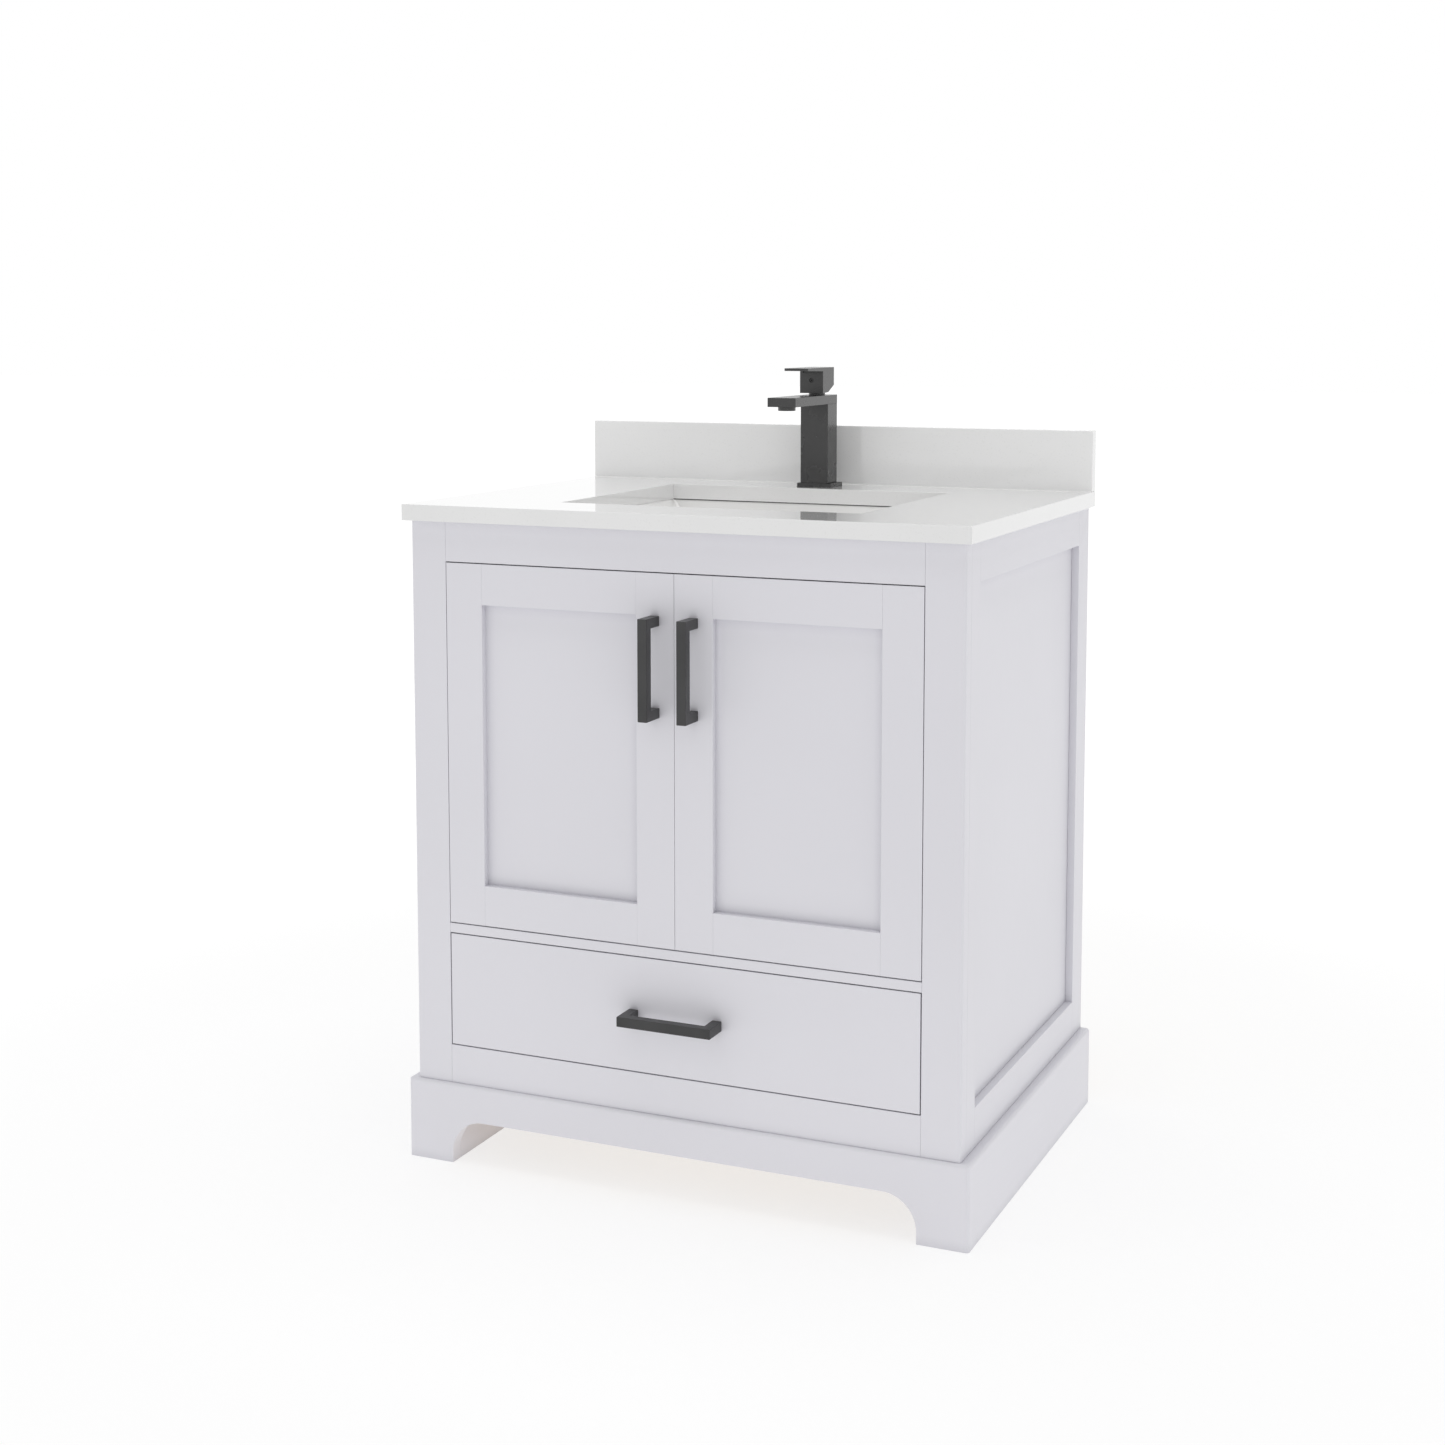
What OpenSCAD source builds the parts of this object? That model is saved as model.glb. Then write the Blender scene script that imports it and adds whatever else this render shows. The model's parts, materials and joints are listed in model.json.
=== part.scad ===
// Bathroom vanity cabinet: a painted shaker cabinet on a moulded plinth, with two
// inset doors over one drawer, a slab top with an undermount basin, and a square
// single-lever faucet.
// Millimetres. X runs along the front, Y goes back to the wall and Z is up. The
// origin is on the floor, in the middle of the overall footprint.

/* [Top slab] */
// Width of the slab and of the backsplash
top_w = 762; // [700:1:900]
// Depth of the slab, from the wall to its front edge
top_d = 560; // [540:1:620]
// Height of the slab's upper face above the floor
top_h = 864; // [840:1:920]
// Thickness of the slab
top_t = 20.8; // [18:0.1:30]
// How far the slab passes the cabinet at each side
side_overhang = 8.5; // [0:0.5:20]
// How far the slab passes the cabinet at the front
front_overhang = 9.5; // [0:0.5:20]
// Height of the backsplash above the slab
splash_h = 84; // [50:1:120]
// Thickness of the backsplash
splash_t = 18; // [12:1:24]

/* [Face frame] */
// Width of the two outer stiles
stile_w = 50.3; // [40:0.1:60]
// Height of the rail above the doors
top_rail_h = 51.4; // [40:0.1:60]
// Height of the rail between the doors and the drawer
middle_rail_h = 12.5; // [10:0.1:20]
// Height of the rail under the drawer
bottom_rail_h = 50.6; // [40:0.1:60]
// Height of the drawer opening
drawer_opening_h = 150; // [140:1:180]
// Thickness of the face frame, the doors and the drawer front
frame_t = 20; // [19:0.5:22]
// Gap above and below each door, and all round the drawer front
reveal = 1.4; // [1:0.1:2.5]
// Radius on the two front corners of the cabinet
corner_r = 3; // [1:0.5:6]

/* [Cabinet sides and shelves] */
// Thickness of the side frames
side_t = 18; // [18:0.5:20]
// Width of the side frame's front stile behind the face frame
side_front_stile_w = 33.5; // [30:0.5:45]
// Width of the side frame's back stile
side_back_stile_w = 48.4; // [40:0.1:60]
// Height of the side frame's top rail
side_top_rail_h = 50; // [40:1:60]
// Height of the side frame's bottom rail
side_bottom_rail_h = 50; // [40:1:60]
// Depth from the side frame's face to its panel
side_recess = 10.2; // [6:0.1:10.5]
// Thickness of the panels in the doors and the sides
panel_t = 6; // [5:0.5:7]
// Depth of the grooves that hold the panels
groove_d = 8; // [6:0.5:9]
// Room left for the panel to swell in its groove
groove_room = 1; // [0.5:0.5:2]
// Thickness of the cabinet floor under the drawer
floor_t = 12; // [10:1:16]
// Thickness of the board behind the drawer
back_t = 6; // [5:1:9]
// Height of the fixing rail at the top of the back
fixing_rail_h = 90; // [70:1:110]
// Thickness of the fixing rail
fixing_rail_t = 18; // [15:1:20]
// Radius of the four wall screw holes
fixing_hole_r = 3; // [2.5:0.5:4]
// Distance between the screw holes along the wall
fixing_pitch_x = 406.4; // [300:0.1:500]
// Distance between the screw holes up the wall
fixing_pitch_z = 44; // [30:1:50]
// Length of the short sides of each corner brace
brace_leg = 64; // [40:1:80]
// Thickness of the corner braces
brace_t = 18; // [12:1:20]

/* [Plinth] */
// Height of the plinth
plinth_h = 106.6; // [90:0.1:130]
// How far the plinth stands out from the cabinet's front
plinth_out_front = 5; // [2:0.5:10]
// How far the plinth stands out from the cabinet's sides
plinth_out_side = 12.3; // [6:0.1:15]
// Thickness of the plinth boards
plinth_t = 20; // [18:0.5:24]
// Radius along the plinth's upper edge
plinth_round = 4.5; // [2:0.5:8]
// Height of the arch in the plinth's front
arch_h = 58.5; // [40:0.5:70]
// Width of each foot beside the arch
foot_w = 65.6; // [50:0.1:90]
// Radius of the arch's upper corners
arch_r = 44; // [20:1:50]

/* [Doors and drawer] */
// Gap beside each door, on the side of its hinges
hinge_gap = 0.9; // [0.8:0.1:2]
// Gap between the faces of the two doors
meeting_gap = 0.8; // [0.6:0.1:2]
// Slope of the doors' meeting edges, which lets their back corners pass
meeting_bevel = 0.7; // [0.6:0.1:1.5]
// Width of the door stiles
door_stile_w = 51.4; // [50:0.1:60]
// Height of the door rails
door_rail_h = 52.4; // [45:0.1:60]
// Depth from a door's face to its panel
door_recess = 9.5; // [8:0.5:11]
// Furthest that a door opens, in degrees
door_open = 105; // [95:1:105]
// Thickness of the drawer box's sides, front and back
box_t = 12; // [10:1:15]
// Height of the drawer box
box_h = 112; // [80:1:116]
// Length of the drawer box and its slides
box_d = 450; // [350:10:450]
// Thickness of the drawer's bottom
box_bottom_t = 6; // [4:1:8]
// Height of the drawer's bottom above the lower edge of its sides
box_bottom_rise = 8; // [6:1:14]
// Gap from the drawer opening's lower edge to the drawer box
box_lift = 14; // [8:1:16]

/* [Pulls] */
// Overall length of a pull
pull_len = 127; // [96:1:160]
// Width of a pull's square bar
pull_bar = 12.7; // [8:0.1:16]
// How far a pull stands out from the front
pull_out = 36.5; // [28:0.5:45]

/* [Drawer slides] */
// Thickness of a closed slide
slide_t = 12.7; // [12.5:0.1:14]
// Height of a slide
slide_h = 45; // [40:1:50]
// Thickness of the slides' sheet steel
sheet_t = 1.2; // [1:0.1:1.5]
// Running gap between one slide member and the next
slide_gap = 0.3; // [0.2:0.05:0.4]

/* [Door hinges] */
// Distance from a door's top or bottom edge to its hinge
hinge_inset = 75; // [60:1:100]
// Radius of the hinge cup
cup_r = 17.5; // [13:0.5:17.5]
// Depth of the hinge cup in the door
cup_depth = 11.5; // [10:0.5:12.5]
// Width of a hinge link
link_w = 7; // [6:0.5:7]
// Radius of the hinge pins
hinge_pin_r = 1.5; // [1:0.1:2]
// Distance from a door's edge to the middle of its hinge cups
cup_inset = 25.1; // [22:0.1:26]
// How far back the hinge arms' pins stand from the face frame's back
arm_pin_back = 12; // [10:0.5:14]
// Length of the hinge arms' mounting plates
hinge_plate_len = 80; // [60:1:90]
// Height of the hinge arms' mounting plates
hinge_plate_h = 28; // [20:1:34]
// Thickness of the hinge arms' mounting plates
hinge_plate_t = 2; // [1.5:0.1:3]
// Height of the hinge cups' mounting plates
cup_plate_h = 52; // [44:1:58]
// Width of the hinge cups' mounting plates
cup_plate_w = 18; // [14:1:22]
// Height of the blocks that carry the hinges
hinge_block_h = 60; // [40:1:80]

/* [Basin] */
// Width of the hole in the slab
basin_w = 413; // [380:1:450]
// Depth of the slab in front of the hole
slab_front_w = 106; // [100:1:125]
// Depth of the slab behind the hole
slab_back_w = 111; // [108:1:130]
// Depth of the bowl below the slab
bowl_depth = 130; // [100:1:150]
// Thickness of the basin's walls
basin_wall = 10; // [8:0.5:12]
// Width of the basin's rim under the slab
rim_w = 22; // [18:1:24]
// Thickness of the basin's rim
rim_t = 12; // [9:0.5:15]
// How far the bowl's ends lean in over its whole depth
end_lean = 104; // [60:1:110]
// How far the bowl's front and back lean in over its whole depth
face_lean = 39; // [20:1:60]

/* [Drain] */
// Radius of the drain hole in the basin
drain_hole_r = 22.5; // [22.5:0.1:24]
// Outer radius of the drain's tube
drain_tube_r = 21.8; // [21:0.1:22]
// Wall of the drain's tube
drain_wall = 2.4; // [2:0.1:2.8]
// Outer radius of the tailpiece
tail_r = 15.9; // [14:0.1:17]
// Wall of the tailpiece
tail_wall = 1.5; // [1:0.1:2]
// Length of the drain's tube below the bowl's floor
drain_len = 73; // [65:1:90]
// Length of the tailpiece below the drain's tube
tail_len = 80; // [60:1:120]
// Travel of the stopper
stopper_lift = 8; // [5:1:12]
// Depth from the bowl's floor to the cross that guides the stopper
cross_depth = 30; // [24:1:40]

/* [Faucet] */
// Distance from the wall to the middle of the faucet's base
faucet_from_wall = 64; // [60:1:68]
// Width of the base plate
faucet_base_w = 51; // [46:1:60]
// Depth of the base plate, front to back
faucet_base_d = 45; // [44:1:60]
// Thickness of the base plate
faucet_base_t = 5.6; // [4:0.1:8]
// Width of the column and the spout
faucet_w = 41; // [36:0.5:44]
// Depth of the column, front to back
column_d = 36; // [34:1:40]
// Height from the slab to the spout's upper face
faucet_h = 129.4; // [110:0.1:160]
// Thickness of the spout
spout_t = 12.5; // [10:0.5:16]
// Length of the spout, from the back of the column
spout_len = 156.8; // [120:0.1:180]
// Diameter of the aerator
aerator_d = 24; // [22:1:26]
// Distance from the spout's tip to the middle of the aerator
aerator_in = 19; // [15:1:25]
// Radius of the hole for the faucet in the slab
faucet_hole_r = 17.5; // [17:0.5:19]
// Radius of the faucet's threaded shank
shank_r = 16; // [15:0.5:16.5]
// Length of the shank below the base plate
shank_len = 74; // [60:1:90]
// Width of the handle
handle_w = 34.6; // [32:0.2:36]
// Reach of the handle, from its back to the tip of the lever
lever_len = 99.5; // [80:0.5:110]
// Thickness of the lever at its tip
lever_t = 3.6; // [3:0.1:4.5]
// Height of the handle
handle_h = 35.7; // [34:0.1:40]
// Radius of the hole for the handle's set screw
set_screw_hole_r = 3.2; // [2.5:0.1:3.6]
// Gap between the handle and the spout
handle_gap = 3; // [2:0.1:4]
// Distance from the back of the column to the handle's turning axis
turn_axis_in = 25.6; // [24:0.1:28]
// Highest tilt of the handle, in degrees
handle_tilt = 22; // [10:1:24]

/* [Hidden] */

$fn = 64;

// Small overlap that lets a cut pass through a face
cut = 1;
// Clearance of a pin in its hole
pin_fit = 0.05;
// Gap that keeps neighbouring moving pieces apart
near_gap = 0.3;
// Faces of a small part of a hull
hull_fn = 32;

// Paint, stone, china and metal, as they look
paint = [0.85, 0.85, 0.87];
birch = [0.82, 0.72, 0.56];
quartz = [0.95, 0.95, 0.95];
china = [0.97, 0.97, 0.97];
black_metal = [0.12, 0.12, 0.13];
steel = [0.72, 0.73, 0.75];

// The cabinet's outline
body_w = top_w - 2 * side_overhang;
body_d = top_d - front_overhang;
body_h = top_h - top_t;
half_w = body_w / 2;
front_y = -body_d;
frame_back_y = front_y + frame_t;
side_in_x = half_w - side_t;
wall_y = (body_d + pull_out) / 2;

// The openings in the face frame
opening_x = half_w - stile_w;
drawer_z0 = plinth_h + bottom_rail_h;
drawer_z1 = drawer_z0 + drawer_opening_h;
door_z0 = drawer_z1 + middle_rail_h;
door_z1 = body_h - top_rail_h;

// The side frames
side_front_y = frame_back_y + side_front_stile_w;
side_back_y = -side_back_stile_w;
side_panel_z0 = plinth_h + side_bottom_rail_h;
side_panel_z1 = body_h - side_top_rail_h;
side_panel_x1 = half_w - side_recess;
side_panel_x0 = side_panel_x1 - panel_t;
tongue = groove_d - groove_room;

// The plinth
plinth_x = half_w + plinth_out_side;
plinth_front_y = front_y - plinth_out_front;

// The doors, described for the right-hand one
door_in_x = meeting_gap / 2;
door_out_x = opening_x - hinge_gap;
door_bottom = door_z0 + reveal;
door_top = door_z1 - reveal;
door_panel_x0 = door_in_x + door_stile_w;
door_panel_x1 = door_out_x - door_stile_w;
door_panel_z0 = door_bottom + door_rail_h;
door_panel_z1 = door_top - door_rail_h;
door_panel_y0 = front_y + door_recess;
door_panel_y1 = door_panel_y0 + panel_t;
pull_x = door_in_x + door_stile_w / 2;

// The drawer
front_x = opening_x - reveal;
front_z0 = drawer_z0 + reveal;
front_z1 = drawer_z1 - reveal;
box_x = opening_x - slide_t;
box_z0 = drawer_z0 + box_lift;
box_z1 = box_z0 + box_h;
box_back_y = frame_back_y + box_d;
box_bottom_z = box_z0 + box_bottom_rise;
slide_z = box_z0 + box_h / 2;
batten_h = slide_h + 6;
step_in = 2 * (sheet_t + slide_gap);

// Heights of the two hinges on each door
hinge_zs = [door_bottom + hinge_inset, door_top - hinge_inset];

// The hinge in plan: [distance into the opening from the stile's edge, distance
// back from the face]. The door turns about [0, 0].
arm_pin = [6, frame_t + arm_pin_back];
cup_pin = [hinge_gap + cup_inset, frame_t + 4];
// The elbow's place on the open door, just past its back edge
elbow_on_open_door = [-2.8, frame_t + 7];
function turned(p, a) = [p[0] * cos(a) + p[1] * sin(a), p[1] * cos(a) - p[0] * sin(a)];
elbow_open = turned(elbow_on_open_door, door_open);
cup_pin_open = turned(cup_pin, door_open);
rear_link_len = norm(elbow_open - arm_pin);
front_link_len = norm(elbow_open - cup_pin_open);
// The closed elbow is where both links meet behind the door
pins = cup_pin - arm_pin;
pins_len = norm(pins);
elbow_along = (pow(rear_link_len, 2) - pow(front_link_len, 2) + pow(pins_len, 2)) / (2 * pins_len);
elbow_across = sqrt(pow(rear_link_len, 2) - pow(elbow_along, 2));
elbow = arm_pin + elbow_along * pins / pins_len
    + elbow_across * [-pins[1], pins[0]] / pins_len;
link_t = 3.2;
link_space = 0.5;
ear_t = 1.6;
ear_gap = 2 * link_t + link_space + 2 * near_gap;
arm_h = ear_gap + 2 * ear_t;
// Where the arms' plates start, back from the face frame
plate_start = 6;

// The basin and its drain
basin_x = basin_w / 2;
basin_back_y = -slab_back_w;
basin_front_y = slab_front_w - top_d;
basin_d = basin_back_y - basin_front_y;
basin_y = (basin_back_y + basin_front_y) / 2;
bowl_reveal = 1.5;
bowl_floor_z = body_h - bowl_depth;
basin_under_z = bowl_floor_z - basin_wall;
rim_under_z = body_h - rim_t;
drain_end_z = bowl_floor_z - drain_len;
drain_in_r = drain_tube_r - drain_wall;
drain_lip_r = drain_hole_r + 9;
drain_lip_t = 2.2;
stem_r = 3;
spider_z = bowl_floor_z - cross_depth;
spider_t = 6;
tail_lip_t = 2;
washer_t = 4;
lock_nut_t = 9;
slip_nut_h = 18;
slip_nut_gap = 1.5;

// The faucet
faucet_y = -faucet_from_wall;
base_top_z = top_h + faucet_base_t;
column_back_y = faucet_y + 14;
column_front_y = column_back_y - column_d;
spout_top_z = top_h + faucet_h;
spout_under_z = spout_top_z - spout_t;
spout_front_y = column_back_y - spout_len;
cartridge_y = column_back_y - turn_axis_in;
cartridge_r = 10;
cartridge_len = 32;
neck_r = 11;
neck_h = 5;
handle_back_y = column_back_y - 4.5;
handle_under_z = spout_top_z + handle_gap;
handle_top_z = handle_under_z + handle_h;
tilt_z = handle_under_z + 12.7;
tilt_pin_r = 2;
handle_wall = 4;

// A box from its limits along each axis
module span(x, y, z) {
    translate([x[0], y[0], z[0]])
        cube([x[1] - x[0], y[1] - y[0], z[1] - z[0]]);
}

// Puts a piece that is measured from the wall into the part's own frame
module from_wall() {
    translate([0, wall_y, 0]) children();
}

// Draws a right-hand piece, or its left-hand twin
module handed(left) {
    if (left) mirror([1, 0, 0]) children();
    else children();
}

// Draws a right-hand piece and its left-hand twin
module both_sides() {
    children();
    mirror([1, 0, 0]) children();
}

// Runs a drawing in the plane of Y and Z along X
module along_x(x0, x1) {
    translate([x0, 0, 0]) rotate([90, 0, 90]) linear_extrude(x1 - x0) children();
}

// A flat bar with round ends between two points
module link_outline(p, q, w) {
    d = q - p;
    translate(p) rotate(atan2(d[1], d[0])) {
        translate([0, -w / 2]) square([norm(d), w]);
        circle(d = w);
        translate([norm(d), 0]) circle(d = w);
    }
}

// ---- Face frame ----

module face_stiles() {
    color(paint) from_wall() both_sides() {
        translate([0, 0, plinth_h]) linear_extrude(body_h - plinth_h) {
            translate([opening_x, front_y + corner_r]) square([stile_w, frame_t - corner_r]);
            translate([opening_x, front_y]) square([stile_w - corner_r, frame_t]);
            translate([half_w - corner_r, front_y + corner_r]) circle(corner_r);
        }
    }
}

module face_rail(z0, z1) {
    color(paint) from_wall() span([-opening_x, opening_x], [front_y, frame_back_y], [z0, z1]);
}

module top_rail() { face_rail(door_z1, body_h); }
module middle_rail() { face_rail(drawer_z1, door_z0); }
module bottom_rail() { face_rail(plinth_h, drawer_z0); }

// ---- Side frames: stiles and rails grooved round a panel ----

module side_groove() {
    span([side_panel_x0, side_panel_x1],
         [side_front_y - groove_d, side_back_y + groove_d],
         [side_panel_z0 - groove_d, side_panel_z1 + groove_d]);
}

module side_stiles(left) {
    color(paint) from_wall() handed(left) difference() {
        union() {
            span([side_in_x, half_w], [frame_back_y, side_front_y], [plinth_h, body_h]);
            span([side_in_x, half_w], [side_back_y, 0], [plinth_h, body_h]);
        }
        side_groove();
    }
}

module side_rails(left) {
    color(paint) from_wall() handed(left) difference() {
        union() {
            span([side_in_x, half_w], [side_front_y, side_back_y], [plinth_h, side_panel_z0]);
            span([side_in_x, half_w], [side_front_y, side_back_y], [side_panel_z1, body_h]);
        }
        side_groove();
    }
}

module side_panel(left) {
    color(paint) from_wall() handed(left)
        span([side_panel_x0, side_panel_x1],
             [side_front_y - tongue, side_back_y + tongue],
             [side_panel_z0 - tongue, side_panel_z1 + tongue]);
}

module left_side_stiles() { side_stiles(true); }
module left_side_rails() { side_rails(true); }
module left_side_panel() { side_panel(true); }
module right_side_stiles() { side_stiles(false); }
module right_side_rails() { side_rails(false); }
module right_side_panel() { side_panel(false); }

// ---- Inside boards and back ----

// Fixing rail with four wall screw holes; the back below it stays open for pipes
module back_top_rail() {
    color(birch) from_wall() difference() {
        span([-side_in_x, side_in_x], [-fixing_rail_t, 0], [body_h - fixing_rail_h, body_h]);
        for (x = [-1, 1], z = [-1, 1])
            translate([x * fixing_pitch_x / 2, cut, body_h - fixing_rail_h / 2 + z * fixing_pitch_z / 2])
                rotate([90, 0, 0]) cylinder(r = fixing_hole_r, h = fixing_rail_t + 2 * cut);
    }
}

module back_panel() {
    color(birch) from_wall() span([-side_in_x, side_in_x], [-back_t, 0], [plinth_h, door_z0]);
}

module deck() {
    color(birch) from_wall()
        span([-side_in_x, side_in_x], [frame_back_y, -back_t], [drawer_z1, door_z0]);
}

module cabinet_floor() {
    color(birch) from_wall()
        span([-side_in_x, side_in_x], [frame_back_y, -back_t], [drawer_z0 - floor_t, drawer_z0]);
}

// Triangular braces in the four top corners, which carry the slab
module corner_braces() {
    color(birch) from_wall() both_sides()
        for (end = [[frame_back_y, 1], [-fixing_rail_t, -1]])
            translate([side_in_x, end[0], body_h - brace_t]) linear_extrude(brace_t)
                polygon([[0, 0], [-brace_leg, 0], [0, end[1] * brace_leg]]);
}

// ---- Plinth: boards mitred at the front corners ----

module plinth_profile() {
    union() {
        square([plinth_t, plinth_h - plinth_round]);
        translate([plinth_round, 0]) square([plinth_t - plinth_round, plinth_h]);
        translate([plinth_round, plinth_h - plinth_round]) circle(plinth_round);
    }
}

// Takes away what lies on the side's part of the mitred front corner
module mitre_cut(front_board) {
    reach = 3 * plinth_t;
    translate([plinth_x, plinth_front_y, -cut]) linear_extrude(plinth_h + 2 * cut)
        if (front_board)
            polygon([[reach, -reach], [-reach, reach], [reach, reach]]);
        else
            polygon([[reach, -reach], [-reach, reach], [-reach, -reach]]);
}

// Takes away the sharp upright edge of the front corner, leaving it round
module corner_cut() {
    r = plinth_round;
    translate([plinth_x - r, plinth_front_y + r, -cut])
        linear_extrude(plinth_h + 2 * cut) difference() {
            translate([0, -r - cut]) square(r + cut);
            circle(r);
        }
}

// The arch's outline in the plane of X and Z, open at the floor
module arch_outline() {
    x = plinth_x - foot_w;
    translate([-x, -cut]) square([2 * x, arch_h - arch_r + cut]);
    translate([-(x - arch_r), -cut]) square([2 * (x - arch_r), arch_h + cut]);
    for (side = [-1, 1]) translate([side * (x - arch_r), arch_h - arch_r]) circle(arch_r);
}

module plinth_front() {
    color(paint) from_wall() difference() {
        translate([-plinth_x, plinth_front_y, 0]) rotate([90, 0, 90])
            linear_extrude(2 * plinth_x) plinth_profile();
        both_sides() {
            mitre_cut(true);
            corner_cut();
        }
        translate([0, plinth_front_y + plinth_t + cut, 0]) rotate([90, 0, 0])
            linear_extrude(plinth_t + 2 * cut) arch_outline();
    }
}

// The side boards, and behind the arch the cheeks which carry each foot's inner face back
module plinth_sides() {
    foot_x = plinth_x - foot_w;
    color(paint) from_wall() both_sides() {
        difference() {
            translate([plinth_x, 0, 0]) rotate([90, 0, 0]) mirror([1, 0, 0])
                linear_extrude(-plinth_front_y) plinth_profile();
            mitre_cut(false);
            corner_cut();
        }
        span([foot_x, foot_x + plinth_t], [plinth_front_y + plinth_t, -plinth_t], [0, plinth_h]);
    }
}

module plinth_back() {
    color(birch) from_wall()
        span([-plinth_x + plinth_t, plinth_x - plinth_t], [-plinth_t, 0], [0, plinth_h]);
}

// ---- Slab, backsplash and basin ----

module countertop() {
    color(quartz) from_wall() difference() {
        span([-top_w / 2, top_w / 2], [-top_d, 0], [body_h, top_h]);
        span([-basin_x, basin_x], [basin_front_y, basin_back_y], [body_h - cut, top_h + cut]);
        translate([0, faucet_y, body_h - cut]) cylinder(r = faucet_hole_r, h = top_t + 2 * cut);
    }
}

module backsplash() {
    color(quartz) from_wall()
        span([-top_w / 2, top_w / 2], [-splash_t, 0], [top_h, top_h + splash_h]);
}

// One thin rounded layer of the bowl; grow widens it all round
module bowl_layer(z, t, lean, grow, r) {
    x = basin_x + bowl_reveal - end_lean * lean + grow;
    y = basin_d / 2 + bowl_reveal - face_lean * lean + grow;
    translate([0, basin_y, z]) linear_extrude(t) {
        square([2 * x, 2 * (y - r)], center = true);
        square([2 * (x - r), 2 * y], center = true);
        for (i = [-1, 1], j = [-1, 1])
            translate([i * (x - r), j * (y - r)]) circle(r, $fn = hull_fn);
    }
}

module sink_basin() {
    skin = 0.1;
    mouth_r = 3;
    floor_r = 26;
    rim_r = 12;
    heel = 12;
    // Shares of the whole lean where the walls turn into the floor
    outer_turn = 0.97;
    inner_turn = 0.91;
    color(china) from_wall() difference() {
        union() {
            bowl_layer(rim_under_z, rim_t, 0, rim_w, rim_r);
            hull() {
                bowl_layer(rim_under_z, skin, 0, basin_wall, mouth_r + basin_wall);
                bowl_layer(bowl_floor_z, skin, outer_turn, basin_wall, floor_r + basin_wall);
                bowl_layer(basin_under_z, skin, 1, basin_wall - heel, floor_r);
            }
        }
        hull() {
            bowl_layer(body_h, skin, 0, 0, mouth_r);
            bowl_layer(bowl_floor_z + heel, skin, inner_turn, 0, floor_r);
            bowl_layer(bowl_floor_z, skin, 1, -heel, floor_r);
        }
        translate([0, basin_y, basin_under_z - cut])
            cylinder(r = drain_hole_r, h = basin_wall + 2 * cut);
    }
}

// Four clips under the slab that hold the basin's rim
module sink_clips() {
    clip_w = 26;
    foot = 14;
    hook_t = 3;
    x = basin_x + bowl_reveal + rim_w;
    clip_y = basin_d / 4;
    color(steel) from_wall() both_sides() for (j = [-1, 1])
        translate([0, basin_y + j * clip_y, 0]) {
            span([x, x + foot], [-clip_w / 2, clip_w / 2], [rim_under_z, body_h]);
            span([x - foot / 2, x + foot], [-clip_w / 2, clip_w / 2], [rim_under_z - hook_t, rim_under_z]);
        }
}

// ---- Drain ----

module hex_prism(across, h) {
    rotate(30) cylinder(d = across / cos(30), h = h, $fn = 6);
}

// Lip and tube with a cross that guides the stopper's stem
module drain_flange() {
    cross_w = 3;
    color(steel) from_wall() translate([0, basin_y, 0]) {
        rotate_extrude() polygon([
            [drain_in_r, drain_end_z],
            [drain_tube_r, drain_end_z],
            [drain_tube_r, bowl_floor_z],
            [drain_lip_r, bowl_floor_z],
            [drain_lip_r, bowl_floor_z + drain_lip_t / 3],
            [drain_lip_r - 3, bowl_floor_z + drain_lip_t],
            [drain_in_r, bowl_floor_z + drain_lip_t / 2]
        ]);
        translate([0, 0, spider_z]) difference() {
            union() {
                cylinder(r = stem_r + cross_w, h = spider_t);
                for (a = [0, 90]) rotate(a)
                    translate([-drain_in_r - drain_wall / 2, -cross_w / 2, 0])
                        cube([2 * drain_in_r + drain_wall, cross_w, spider_t]);
            }
            translate([0, 0, -cut]) cylinder(r = stem_r + pin_fit, h = spider_t + 2 * cut);
        }
    }
}

// Rubber washer and brass nut that clamp the drain to the basin
module drain_lock_nut() {
    washer_w = 11;
    nut_across = 2 * drain_tube_r + 16;
    color(steel) from_wall() translate([0, basin_y, 0]) {
        translate([0, 0, basin_under_z - washer_t]) difference() {
            cylinder(r = drain_hole_r + washer_w, h = washer_t);
            translate([0, 0, -cut]) cylinder(r = drain_tube_r, h = washer_t + 2 * cut);
        }
        translate([0, 0, basin_under_z - washer_t - lock_nut_t]) difference() {
            hex_prism(nut_across, lock_nut_t);
            translate([0, 0, -cut]) cylinder(r = drain_tube_r, h = lock_nut_t + 2 * cut);
        }
    }
}

module drain_tailpiece() {
    lip_r = drain_tube_r - 0.4;
    color(steel) from_wall() translate([0, basin_y, 0]) rotate_extrude() polygon([
        [tail_r - tail_wall, drain_end_z - tail_len],
        [tail_r, drain_end_z - tail_len],
        [tail_r, drain_end_z - tail_lip_t],
        [lip_r, drain_end_z - tail_lip_t],
        [lip_r, drain_end_z],
        [tail_r - tail_wall, drain_end_z]
    ]);
}

// Nut that draws the tailpiece's lip up against the drain's tube
module drain_slip_nut() {
    ledge_t = 3;
    nut_across = 2 * drain_tube_r + 10;
    nut_z0 = drain_end_z - tail_lip_t - ledge_t;
    color(steel) from_wall() translate([0, basin_y, nut_z0]) difference() {
        hex_prism(nut_across, slip_nut_h);
        translate([0, 0, -cut]) cylinder(r = tail_r + slip_nut_gap, h = slip_nut_h);
        translate([0, 0, ledge_t]) cylinder(r = drain_tube_r, h = slip_nut_h);
    }
}

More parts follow.
